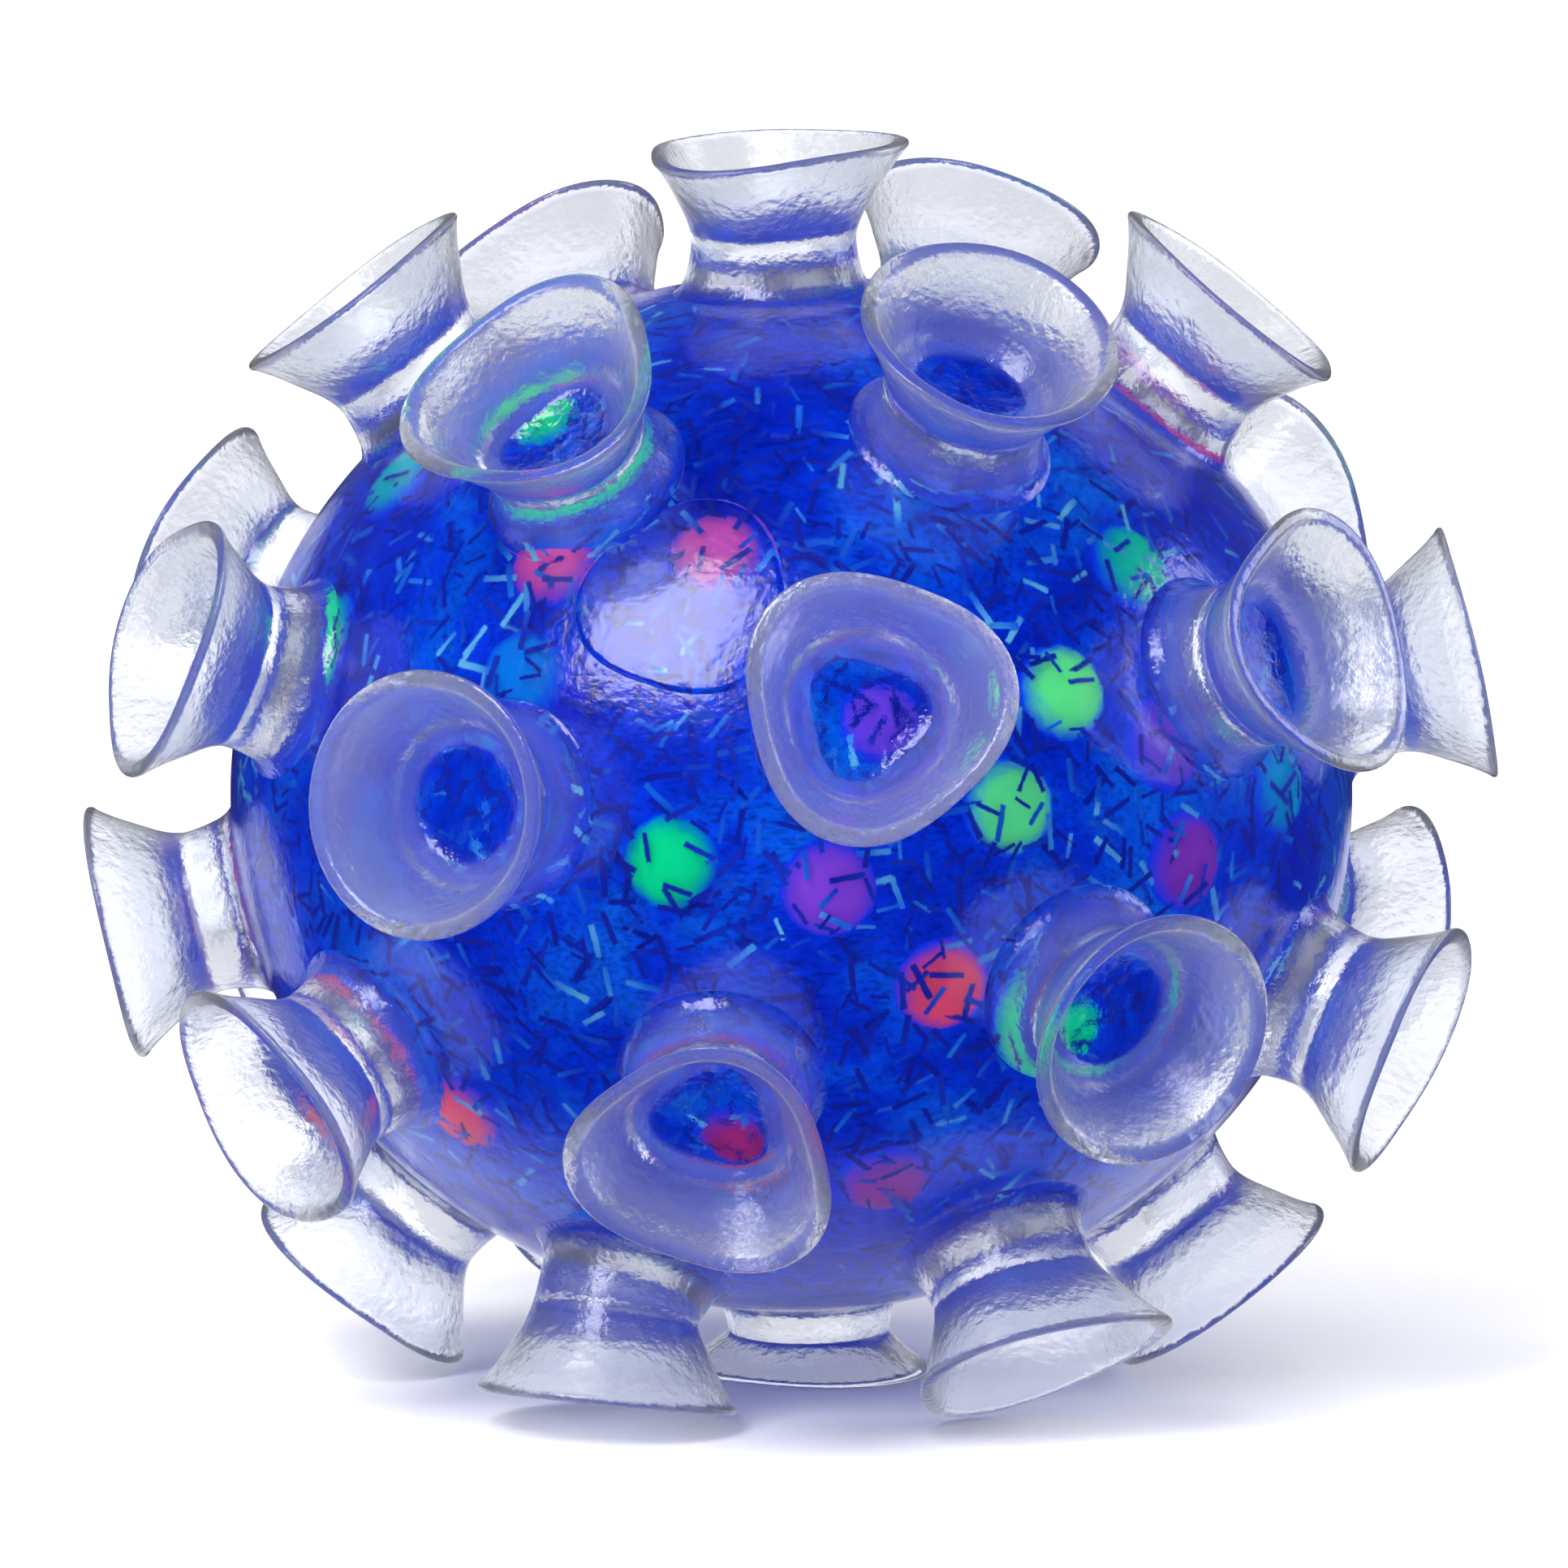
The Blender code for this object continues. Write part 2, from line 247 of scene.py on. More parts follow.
def moved(points: np.ndarray, place: np.ndarray) -> np.ndarray:
    """Carry points by a placement."""
    return points @ place[:3, :3].T + place[:3, 3]


def from_front(around: float, above: float) -> Vector:
    """Return a direction by its degrees round from the front and degrees up."""
    turn = math.radians(around)
    rise = math.radians(above)
    level = math.cos(rise)
    return Vector((math.sin(turn) * level, -math.cos(turn) * level, math.sin(rise)))


def smooth_curve(points: list, steps: int) -> np.ndarray:
    """Run a Catmull-Rom curve through points.

    Args:
        points: rows of equal length.
        steps: pieces per span.

    Returns:
        The rows along the curve.
    """
    p = np.array(points, dtype=float)
    padded = np.vstack([2.0 * p[0] - p[1], p, 2.0 * p[-1] - p[-2]])
    rows = []
    for i in range(1, len(padded) - 2):
        a, b, c, d = padded[i - 1 : i + 3]
        for t in np.arange(steps) / steps:
            bend = 2.0 * a - 5.0 * b + 4.0 * c - d
            twist = 3.0 * b - 3.0 * c + d - a
            rows.append(b + 0.5 * t * (c - a + t * (bend + t * twist)))
    rows.append(p[-1])
    return np.array(rows)


# --- finishes ----------------------------------------------------------------------------------


@dataclass(frozen=True)
class ClearTpr:
    """Clear thermoplastic rubber, moulded in a lightly blasted steel tool.

    The blasting leaves an orange-peel skin, which makes highlights grainy and what is seen
    through it soft. The hollows of the cups are frosted more than their outsides.
    """

    name: str = "clear_moulded_tpr"
    tint: str = "F5F8FC"
    roughness_outside: float = 0.15
    roughness_hollow: float = 0.26
    hazy_clarity: float = 0.84
    peel_mm: float = 0.6
    peel_depth_mm: float = 0.09
    ripple_share: float = 0.22
    ripple_height: float = 1.6
    bonded_by_attribute: bool = False

    def build(self) -> bpy.types.Material:
        """Return the material."""
        material, tree, shader = blank_material(self.name)
        shader.inputs["Base Color"].default_value = linear(self.tint)
        shader.inputs["IOR"].default_value = TPR_IOR
        place = add_node(tree, "ShaderNodeTexCoord").outputs["Object"]
        peel = add_node(
            tree, "ShaderNodeTexNoise", Vector=place, Scale=1.0 / (self.peel_mm * MM), Detail=3.0
        )
        ripple = add_node(
            tree,
            "ShaderNodeTexNoise",
            Vector=place,
            Scale=self.ripple_share / (self.peel_mm * MM),
            Detail=2.0,
        )
        height = add_node(
            tree,
            "ShaderNodeMath",
            {"operation": "MULTIPLY_ADD"},
            in0=ripple.outputs["Fac"],
            in1=self.ripple_height,
            in2=peel.outputs["Fac"],
        )
        bump = add_node(
            tree,
            "ShaderNodeBump",
            Height=height.outputs[0],
            Strength=1.0,
            Distance=self.peel_depth_mm * MM,
        )
        tree.links.new(bump.outputs["Normal"], shader.inputs["Normal"])
        hollow = add_node(tree, "ShaderNodeAttribute", {"attribute_name": "hollow"})
        rough = add_node(
            tree,
            "ShaderNodeMapRange",
            Value=hollow.outputs["Fac"],
            To_Min=self.roughness_outside,
            To_Max=self.roughness_hollow,
        )
        tree.links.new(rough.outputs["Result"], shader.inputs["Roughness"])
        haze = add_node(tree, "ShaderNodeAttribute", {"attribute_name": "haze"})
        clear = add_node(
            tree, "ShaderNodeMapRange", Value=haze.outputs["Fac"], To_Min=1.0, To_Max=self.hazy_clarity
        )
        tree.links.new(clear.outputs["Result"], shader.inputs["Transmission Weight"])
        if self.bonded_by_attribute:
            edge = add_node(tree, "ShaderNodeAttribute", {"attribute_name": "bond_edge"})
            shown = add_node(
                tree, "ShaderNodeMath", {"operation": "GREATER_THAN"}, in0=edge.outputs["Fac"], in1=0.0
            )
            tree.links.new(shown.outputs[0], shader.inputs["Alpha"])
        return material


@dataclass(frozen=True)
class BondedFace:
    """The face inside a bond, where two pieces of one rubber meet and nothing shows."""

    name: str = "bonded_tpr_joint"

    def build(self) -> bpy.types.Material:
        """Return the material."""
        material, _, shader = blank_material(self.name)
        shader.inputs["Base Color"].default_value = linear("FFFFFF")
        shader.inputs["Roughness"].default_value = 1.0
        shader.inputs["Alpha"].default_value = 0.0
        return material


@dataclass(frozen=True)
class BlueGel:
    """Dyed squeeze-toy gel, cloudy with fine fibres and flakes.

    It is ultramarine in depth and azure where light gets in, with a tangle of dark fibres. The
    azure is painted light, laid in random clouds. Light wanders through the gel and leaks out
    again; this is painted as a glow, the gel emitting a little of its own colour.
    """

    name: str = "blue_glitter_gel"
    deep: str = "0020CC"
    body: str = "0140F0"
    bright: str = "0A80FF"
    fibre: str = "001290"
    glow: float = 0.15
    cloud_mm: float = 9.0
    fibre_mm: float = 1.1

    def build(self) -> bpy.types.Material:
        """Return the material."""
        material, tree, shader = blank_material(self.name)
        place = add_node(tree, "ShaderNodeTexCoord").outputs["Object"]
        cloud = add_node(
            tree,
            "ShaderNodeTexNoise",
            Vector=place,
            Scale=1.0 / (self.cloud_mm * MM),
            Detail=5.0,
            Roughness=0.6,
            Distortion=0.4,
        )
        # Random clouds from deep ultramarine to azure; the azure end is painted light.
        base = colour_ramp(
            tree, cloud.outputs["Fac"], ((0.32, self.deep), (0.50, self.body), (0.72, self.bright))
        )
        fibres = None
        for number, turn in enumerate(((0.3, 0.2, 0.4), (1.1, 0.5, 1.5), (0.7, 1.7, 2.6))):
            lay = add_node(
                tree,
                "ShaderNodeMapping",
                Vector=place,
                Location=(0.013 * number, 0.007, 0.003),
                Rotation=turn,
                Scale=(1.0, 6.0, 6.0),
            )
            streak = add_node(
                tree,
                "ShaderNodeTexNoise",
                Vector=lay.outputs["Vector"],
                Scale=1.0 / (self.fibre_mm * MM),
                Detail=2.0,
            )
            if fibres is None:
                fibres = streak.outputs["Fac"]
            else:
                fibres = add_node(
                    tree,
                    "ShaderNodeMath",
                    {"operation": "MAXIMUM"},
                    in0=fibres,
                    in1=streak.outputs["Fac"],
                ).outputs[0]
        amount = add_node(
            tree, "ShaderNodeMapRange", Value=fibres, From_Min=0.56, From_Max=0.68, To_Max=0.75
        )
        mixed = add_node(
            tree,
            "ShaderNodeMix",
            {"data_type": "RGBA"},
            Factor=amount.outputs["Result"],
            in6=base,
            in7=linear(self.fibre),
        )
        tree.links.new(mixed.outputs[2], shader.inputs["Base Color"])
        # Painted glow: the gel emits a little of its own colour, standing in for light scattered inside
        # it.
        tree.links.new(mixed.outputs[2], shader.inputs["Emission Color"])
        shader.inputs["Emission Strength"].default_value = self.glow
        shader.inputs["Roughness"].default_value = 0.6
        shader.inputs["Specular IOR Level"].default_value = 0.0
        return material


@dataclass(frozen=True)
class BeadPlastic:
    """Bright plastic with a fluorescent dye, for a bead sunk in the gel.

    The dye gives back more than it gets, so a bead looks lit: partly the dye's real glow, painted
    as a steady emission of the bead's own colour. The gel veils the bead's edge, which lies
    deeper, and a deep bead all over.
    """

    name: str
    colour: str
    veil: float = 0.0
    glow: float = 0.22
    gel_m: float = 0.0305
    lost_mm: float = 0.45
    clear_mm: float = 2.1
    grain_mm: float = 0.9
    gel_colour: str = "0140F4"

    def build(self) -> bpy.types.Material:
        """Return the material."""
        material, tree, shader = blank_material(self.name)
        place = add_node(tree, "ShaderNodeTexCoord").outputs["Object"]
        squash = add_node(tree, "ShaderNodeMapping", Vector=place, Scale=(1.0, 1.0, 1.0 / BALL_SQUASH))
        depth = add_node(
            tree, "ShaderNodeVectorMath", {"operation": "LENGTH"}, in0=squash.outputs["Vector"]
        )
        grain = add_node(
            tree, "ShaderNodeTexNoise", Vector=place, Scale=1.0 / (self.grain_mm * MM), Detail=3.0
        )
        ragged = add_node(
            tree,
            "ShaderNodeMath",
            {"operation": "MULTIPLY_ADD"},
            in0=grain.outputs["Fac"],
            in1=self.grain_mm * MM,
            in2=depth.outputs["Value"],
        )
        covered = add_node(
            tree,
            "ShaderNodeMapRange",
            {"interpolation_type": "SMOOTHSTEP"},
            Value=ragged.outputs[0],
            From_Min=self.gel_m + self.lost_mm * MM,
            From_Max=self.gel_m + self.clear_mm * MM,
            To_Min=1.0,
            To_Max=self.veil,
        )
        mixed = add_node(
            tree,
            "ShaderNodeMix",
            {"data_type": "RGBA"},
            Factor=covered.outputs["Result"],
            in6=linear(self.colour),
            in7=linear(self.gel_colour),
        )
        tree.links.new(mixed.outputs[2], shader.inputs["Base Color"])
        # Painted glow: the bead emits its own colour, standing in for the dye's fluorescence.
        tree.links.new(mixed.outputs[2], shader.inputs["Emission Color"])
        shader.inputs["Emission Strength"].default_value = self.glow
        shader.inputs["Roughness"].default_value = 0.5
        shader.inputs["Specular IOR Level"].default_value = 0.0
        return material


@dataclass(frozen=True)
class GlitterFoil:
    """Cut polyester film with a metal coat. Most flakes are dark blue in the gel; a random few, more in
    patches, get a painted glint of azure in place of the coat's reflection.
    """

    name: str = "cut_blue_foil"
    glint_patch_mm: float = 7.0
    glint_patch_share: float = 1.8
    darker: float = -0.22
    # Painted glints: dark blue for most flakes, rising to azure and pale azure for the few that catch
    # the light.
    tones: tuple = (
        (0.0, "0018A4"),
        (0.46, "0024BC"),
        (0.58, "023CD8"),
        (0.70, "0C78F8"),
        (0.84, "70D8FF"),
    )

    def build(self) -> bpy.types.Material:
        """Return the material."""
        material, tree, shader = blank_material(self.name)
        # Each flake's random number, from the foil tree, sets its painted glint.
        flash = add_node(tree, "ShaderNodeAttribute", {"attribute_name": "flash"})
        place = add_node(tree, "ShaderNodeTexCoord").outputs["Object"]
        # Patches where painted glints crowd together.
        glint_patch = add_node(
            tree, "ShaderNodeTexNoise", Vector=place, Scale=1.0 / (self.glint_patch_mm * MM), Detail=1.0
        )
        lit = add_node(
            tree,
            "ShaderNodeMath",
            {"operation": "MULTIPLY_ADD"},
            in0=glint_patch.outputs["Fac"],
            in1=self.glint_patch_share,
            in2=flash.outputs["Fac"],
        )
        halved = add_node(
            tree,
            "ShaderNodeMath",
            {"operation": "MULTIPLY_ADD"},
            in0=lit.outputs[0],
            in1=0.5,
            in2=self.darker,
        )
        colour = colour_ramp(tree, halved.outputs[0], self.tones)
        tree.links.new(colour, shader.inputs["Base Color"])
        shader.inputs["Roughness"].default_value = 0.5
        shader.inputs["Specular IOR Level"].default_value = 0.1
        return material


@dataclass(frozen=True)
class StudioPaper:
    """Matt white paper roll.

    To the eye it is plain white. In the rubber's reflections it is white close under and behind
    the ball and dark further out, as it is between black flags, so the highlights stay crisp.
    """

    name: str = "white_paper_sweep"
    colour: str = "FCFCFD"
    through: str = "E2E2E8"
    mirrored: str = "24262C"
    shift: tuple = (0.0, -0.022, 0.0)
    near_m: float = 0.036
    far_m: float = 0.058
    lift: float = 0.40

    def build(self) -> bpy.types.Material:
        """Return the material."""
        material, tree, shader = blank_material(self.name)
        shader.inputs["Roughness"].default_value = 0.9
        shader.inputs["Specular IOR Level"].default_value = 0.1
        path = add_node(tree, "ShaderNodeLightPath").outputs
        mirrored = add_node(
            tree,
            "ShaderNodeMath",
            {"operation": "SUBTRACT", "use_clamp": True},
            in0=path["Is Glossy Ray"],
            in1=path["Is Transmission Ray"],
        )
        place = add_node(tree, "ShaderNodeTexCoord").outputs["Object"]
        flat = add_node(
            tree,
            "ShaderNodeVectorMath",
            {"operation": "MULTIPLY_ADD"},
            in0=place,
            in1=(1.0, 1.0, 0.0),
            in2=self.shift,
        )
        away = add_node(tree, "ShaderNodeVectorMath", {"operation": "LENGTH"}, in0=flat.outputs[0])
        near = add_node(
            tree,
            "ShaderNodeMapRange",
            {"interpolation_type": "SMOOTHSTEP"},
            Value=away.outputs["Value"],
            From_Min=self.near_m,
            From_Max=self.far_m,
        )
        glossy = add_node(
            tree,
            "ShaderNodeMix",
            {"data_type": "RGBA"},
            in0=near.outputs["Result"],
            in6=linear(self.colour),
            in7=linear(self.mirrored),
        )
        inside = add_node(
            tree,
            "ShaderNodeMix",
            {"data_type": "RGBA"},
            in0=mirrored.outputs[0],
            in6=linear(self.through),
            in7=glossy.outputs[2],
        )
        shade = add_node(
            tree,
            "ShaderNodeMix",
            {"data_type": "RGBA"},
            in0=path["Is Camera Ray"],
            in6=inside.outputs[2],
            in7=linear(self.colour),
        )
        tree.links.new(shade.outputs[2], shader.inputs["Base Color"])
        shader.inputs["Emission Color"].default_value = linear(self.through)
        unseen = add_node(
            tree, "ShaderNodeMath", {"operation": "SUBTRACT"}, in0=1.0, in1=path["Is Camera Ray"]
        )
        lift = add_node(
            tree, "ShaderNodeMapRange", Value=near.outputs["Result"], To_Min=self.lift, To_Max=0.0
        )
        glow = add_node(
            tree,
            "ShaderNodeMath",
            {"operation": "MULTIPLY"},
            in0=unseen.outputs[0],
            in1=lift.outputs["Result"],
        )
        tree.links.new(glow.outputs[0], shader.inputs["Emission Strength"])
        return material


# --- the ball's shape --------------------------------------------------------------------------


@dataclass(frozen=True)
class BallShape:
    """The ball: a sphere a little flattened by its own weight."""

    radius: float = 35.0 * MM
    squash: float = BALL_SQUASH
    gel_depth: float = 4.5 * MM

    def half_height(self, inset: float = 0.0) -> float:
        """Return the half height of the surface, or of one inset below it."""
        return self.radius * self.squash - inset

    def surface_point(self, direction: Vector, inset: float = 0.0) -> tuple[Vector, Vector]:
        """Find where a direction meets the surface.

        Args:
            direction: a unit vector.
            inset: how far below the outer surface.

        Returns:
            The point and the outward normal.
        """
        wide = self.radius - inset
        tall = self.half_height(inset)
        point = Vector((direction.x * wide, direction.y * wide, direction.z * tall))
        normal = Vector((direction.x / wide, direction.y / wide, direction.z / tall)).normalized()
        return point, normal

    def height_over(self, origin: np.ndarray, axis: np.ndarray, inset: float = 0.0) -> np.ndarray:
        """Find how far along an axis each point is from the surface.

        Args:
            origin: points, one a row.
            axis: the unit direction to travel in, outwards.
            inset: how far below the outer surface.

        Returns:
            The distance from each point to the surface.
        """
        scale = np.array([1.0, 1.0, (self.radius - inset) / self.half_height(inset)])
        start = origin * scale
        step = axis * scale
        a = step @ step
        b = 2.0 * start @ step
        c = np.einsum("ij,ij->i", start, start) - (self.radius - inset) ** 2
        root = np.sqrt(np.maximum(b * b - 4.0 * a * c, 0.0))
        return (root - b) / (2.0 * a)

    def sphere_points(self, rows: int, columns: int, inset: float) -> np.ndarray:
        """Return rings of points from bottom to top, with both poles last."""
        polar = np.pi * np.arange(1, rows) / rows
        around = 2.0 * np.pi * np.arange(columns) / columns
        wide = self.radius - inset
        tall = self.half_height(inset)
        x = wide * np.outer(np.sin(polar), np.cos(around))
        y = wide * np.outer(np.sin(polar), np.sin(around))
        z = -tall * np.outer(np.cos(polar), np.ones(columns))
        rings = np.stack([x, y, z], axis=-1).reshape(-1, 3)
        return np.vstack([rings, [[0.0, 0.0, -tall], [0.0, 0.0, tall]]])


def sphere_faces(rows: int, columns: int, start: int = 0, inward: bool = False) -> list:
    """Return the faces for BallShape.sphere_points."""
    last = (rows - 1) * columns
    faces = ring_faces(rows - 1, columns)
    for k in range(columns):
        after = (k + 1) % columns
        top = last - columns
        faces.append((last, after, k))
        faces.append((last + 1, top + k, top + after))
    faces = [tuple(start + c for c in face) for face in faces]
    return [face[::-1] for face in faces] if inward else faces


# --- cups --------------------------------------------------------------------------------------


@dataclass
class CupPlan:
    """Where one cup sits."""

    name: str
    kind: CupKind
    direction: Vector
    foot: Matrix
    bell: Matrix
    reach: float

    @property
    def body(self) -> str:
        """The CAD body that the cup's bell moves with."""
        return f"{self.name}_bell"


@dataclass
class CupPattern:
    """The thirty-two cup places: icosahedron corners and dodecahedron corners."""

    ball: BallShape
    tilt_x: float = 5.7
    tilt_y: float = 1.3
    turn: float = -30.2
    pivot_height: float = 4.0 * MM
    cup_height: float = 8.7 * MM
    mouth_radius: float = 8.1 * MM
    mouth_lobes: float = 0.075
    flat_cup_height: float = 4.7 * MM
    table_clearance: float = 0.1 * MM
    lean_per_metre: float = 9000.0

    @property
    def table_z(self) -> float:
        """Height of the table under the ball."""
        return -(self.ball.half_height() + self.flat_cup_height)

    @staticmethod
    def signed(values: tuple) -> list[Vector]:
        """Return every vector with plus or minus these numbers, each once."""
        found = {
            (sx * values[0] + 0.0, sy * values[1] + 0.0, sz * values[2] + 0.0)
            for sx in (-1.0, 1.0)
            for sy in (-1.0, 1.0)
            for sz in (-1.0, 1.0)
        }
        return [Vector(v).normalized() for v in sorted(found)]

    def corners(self, kind: CupKind) -> list[Vector]:
        """Return the corner directions for one kind of cup, before the pattern is turned."""
        if kind is CupKind.ROUND:
            groups = ((0.0, 1.0, GOLDEN), (1.0, GOLDEN, 0.0), (GOLDEN, 0.0, 1.0))
        else:
            short = 1.0 / GOLDEN
            groups = ((1.0, 1.0, 1.0), (short, 0.0, GOLDEN), (0.0, GOLDEN, short), (GOLDEN, short, 0.0))
        return [corner for values in groups for corner in self.signed(values)]

    def rotation(self, lobed: list[Vector]) -> Matrix:
        """Return the turn that puts one lobed cup near the top."""
        pole = Vector((1.0, 1.0, 1.0)).normalized()
        towards = sorted(
            (o for o in lobed if o.dot(pole) < SAME_DIRECTION), key=lambda o: -o.dot(pole)
        )[0]
        front = (towards - pole * towards.dot(pole)).normalized()
        upright = Matrix(((-front).cross(pole), -front, pole))
        tilt_x = Matrix.Rotation(math.radians(self.tilt_x), 3, "X")
        tilt_y = Matrix.Rotation(math.radians(self.tilt_y), 3, "Y")
        turn = Matrix.Rotation(math.radians(self.turn), 3, "Z")
        return turn @ tilt_y @ tilt_x @ upright

    @staticmethod
    def placement(origin: Vector, axis: Vector, towards: Vector) -> Matrix:
        """Return a placement with local Z along axis and X turned towards a direction."""
        side = (towards - axis * towards.dot(axis)).normalized()
        rotation = Matrix((side, axis.cross(side), axis)).transposed().to_4x4()
        return Matrix.Translation(origin) @ rotation

    def stance(self, direction: Vector, lobes: float) -> tuple[Vector, Vector, float]:
        """Let a cup lean and flatten where the table is in its way.

        Args:
            direction: where the cup stands.
            lobes: how lobed its mouth is.

        Returns:
            The pivot, the bell's axis and the reach from the pivot to the rim.
        """
        point, normal = self.ball.surface_point(direction)
        pivot = point + normal * self.pivot_height
        reach = self.cup_height - self.pivot_height
        widest = self.mouth_radius * (1.0 + lobes)
        lowest = pivot.z + reach * normal.z - widest * math.hypot(normal.x, normal.y)
        shortfall = self.table_z + self.table_clearance - lowest
        if normal.z > 0.0 or shortfall <= 0.0:
            return pivot, normal, reach
        from_down = normal.angle(-UP)
        lean = min(math.radians(self.lean_per_metre * shortfall), from_down)
        axis = Matrix.Rotation(lean, 3, normal.cross(-UP)) @ normal
        clearance = 0.0 if lean == from_down else self.table_clearance
        room = pivot.z - self.table_z - clearance - widest * math.hypot(axis.x, axis.y)
        return pivot, axis.normalized(), min(reach, room / abs(axis.z))

    def plans(self) -> list[CupPlan]:
        """Return every cup's plan, each kind from top to bottom."""
        turn = self.rotation(self.corners(CupKind.LOBED))
        lobed = [turn @ c for c in self.corners(CupKind.LOBED)]
        plans = []
        for kind in CupKind:
            lobes = self.mouth_lobes if kind is CupKind.LOBED else 0.0
            ordered = sorted((turn @ c for c in self.corners(kind)), key=lambda c: -c.z)
            for number, direction in enumerate(ordered, start=1):
                near = sorted(
                    (o for o in lobed if o.dot(direction) < SAME_DIRECTION),
                    key=lambda o: -o.dot(direction),
                )[0]
                pivot, axis, reach = self.stance(direction, lobes)
                normal = self.ball.surface_point(direction)[1]
                foot = self.placement(pivot, normal, near - direction)
                bell = self.placement(pivot, axis, foot.to_3x3().col[0])
                plans.append(CupPlan(f"{kind.value}_{number:02d}", kind, direction, foot, bell, reach))
        return plans


@dataclass
class SuctionCup:
    """One clear cup: a foot that flows into the skin, a neck, and a bell with a deep hollow."""

    plan: CupPlan
    ball: BallShape
    pattern: CupPattern
    finish: bpy.types.Material
    bonded: bpy.types.Material
    seed: int = 0
    columns: int = 84
    wobble_mm: float = 0.16
    pull: float = 0.6
    dip: float = 1.6
    rim_height_mm: float = 8.7
    free_squeeze: float = 0.999
    seat_depth: float = 4.8 * MM
    seat_angle: float = 65.0
    bond_depth: float = 0.1 * MM
    bond_middle: float = 0.12 * MM
    blend_below_mm: float = 3.2
    blend_above_mm: float = 0.6

    # Outline from the foot's edge over the rim to the middle of the hollow:
    # radius mm, height mm over the ball, share of the mouth's lobes, share of the bell's turn,
    # how closely the height follows the ball, how frosted the surface is, and how hazy
    OUTLINE = (
        (6.35, -0.03, 0.0, 0.0, 1.0, 0.0, 0.00),
        (6.10, 0.08, 0.0, 0.0, 1.0, 0.0, 0.10),
        (5.80, 0.34, 0.0, 0.0, 1.0, 0.0, 0.15),
        (5.50, 0.80, 0.0, 0.05, 0.9, 0.1, 0.25),
        (5.28, 1.50, 0.05, 0.2, 0.6, 0.2, 0.40),
        (5.14, 2.30, 0.10, 0.5, 0.3, 0.2, 0.40),
        (5.14, 3.10, 0.20, 0.8, 0.1, 0.1, 0.35),
        (5.50, 4.20, 0.40, 1.0, 0.0, 0.0, 0.28),
        (6.26, 5.60, 0.70, 1.0, 0.0, 0.0, 0.28),
        (7.05, 7.00, 0.90, 1.0, 0.0, 0.0, 0.28),
        (7.74, 8.02, 1.0, 1.0, 0.0, 0.0, 0.32),
        (8.00, 8.32, 1.0, 1.0, 0.0, 0.0, 0.35),
        (8.00, 8.58, 1.0, 1.0, 0.0, 0.0, 0.35),
        (7.72, 8.70, 1.0, 1.0, 0.0, 0.0, 0.35),
        (7.30, 8.68, 1.0, 1.0, 0.0, 0.1, 0.40),
        (6.98, 8.45, 1.0, 1.0, 0.0, 0.4, 0.50),
        (6.74, 8.00, 1.1, 1.0, 0.0, 0.8, 0.50),
        (6.32, 7.10, 1.2, 1.0, 0.0, 1.0, 0.45),
        (5.76, 6.05, 1.3, 1.0, 0.0, 1.0, 0.38),
        (5.08, 5.05, 1.35, 1.0, 0.0, 1.0, 0.30),
        (4.38, 4.25, 1.4, 1.0, 0.0, 1.0, 0.30),
        (3.95, 3.84, 1.5, 1.0, 0.0, 0.8, 0.30),
        (3.68, 3.58, 1.5, 1.0, 0.0, 0.4, 0.25),
        (3.38, 3.40, 1.5, 1.0, 0.0, 0.0, 0.05),
        (2.60, 3.20, 1.3, 1.0, 0.0, 0.0, 0.00),
        (1.20, 3.02, 0.5, 1.0, 0.0, 0.0, 0.00),
    )

    @staticmethod
    def waves(rng: np.random.Generator, around: np.ndarray, lengths: range) -> np.ndarray:
        """Return a random wobble round the rim, made of waves of a few lengths."""
        return sum(
            rng.uniform(-1.0, 1.0) / k * np.cos(k * around + rng.uniform(0.0, 6.28)) for k in lengths
        )

    def shape(self) -> tuple[np.ndarray, np.ndarray, np.ndarray]:
        """Work out the cup's rings of points.

        Returns:
            The points, one ring after another, and how frosted and how hazy each is.
        """
        rng = np.random.default_rng(self.seed)
        around = 2.0 * np.pi * np.arange(self.columns) / self.columns
        lobes = self.pattern.mouth_lobes if self.plan.kind is CupKind.LOBED else 0.0
        pulls = self.waves(rng, around, range(2, 7))
        dips = self.waves(rng, around, range(1, 5))
        dips = np.minimum(dips - dips.max(), 0.0)
        foot = np.array(self.plan.foot)
        bell = np.array(self.plan.bell)
        pivot_height = self.pattern.pivot_height
        seat = -self.seat_depth * math.cos(math.radians(self.seat_angle))
        natural = self.pattern.cup_height - pivot_height
        squeeze = (self.plan.reach - seat) / (natural - seat)
        points = []
        frost = []
        haze = []
        for row in smooth_curve(list(self.OUTLINE), 3):
            radius, height, lobed, turned, follows, frosted, hazy = row
            rise = min(max(height / self.rim_height_mm, 0.0), 1.0) ** 2
            reach = radius * MM * (1.0 + lobes * lobed * np.cos(3.0 * around))
            reach = reach - self.wobble_mm * MM * rise * (pulls.max() - pulls) * self.pull
            level = np.full_like(around, height * MM - pivot_height)
            level = np.where(level > seat, seat + (level - seat) * squeeze, level)
            level = np.minimum(level, self.plan.reach)
            if squeeze >= self.free_squeeze:
                level = level + self.wobble_mm * self.dip * MM * rise * dips
            x = reach * np.cos(around)
            y = reach * np.sin(around)
            local = np.stack([x, y, level], axis=-1)
            place = moved(local, foot) * (1.0 - turned) + moved(local, bell) * turned
            if follows > 0.0:
                flat = np.stack([x, y, np.full_like(x, height * MM - pivot_height)], axis=-1)
                flat = moved(flat, foot)
                base = flat - height * MM * foot[:3, 2]
                drop = self.ball.height_over(base, foot[:3, 2])
                place = place * (1.0 - follows) + follows * (flat + drop[:, None] * foot[:3, 2])
            points.append(place)
            frost.append(np.full(self.columns, frosted))
            haze.append(np.full(self.columns, hazy))
        return np.vstack(points), np.concatenate(frost), np.concatenate(haze)

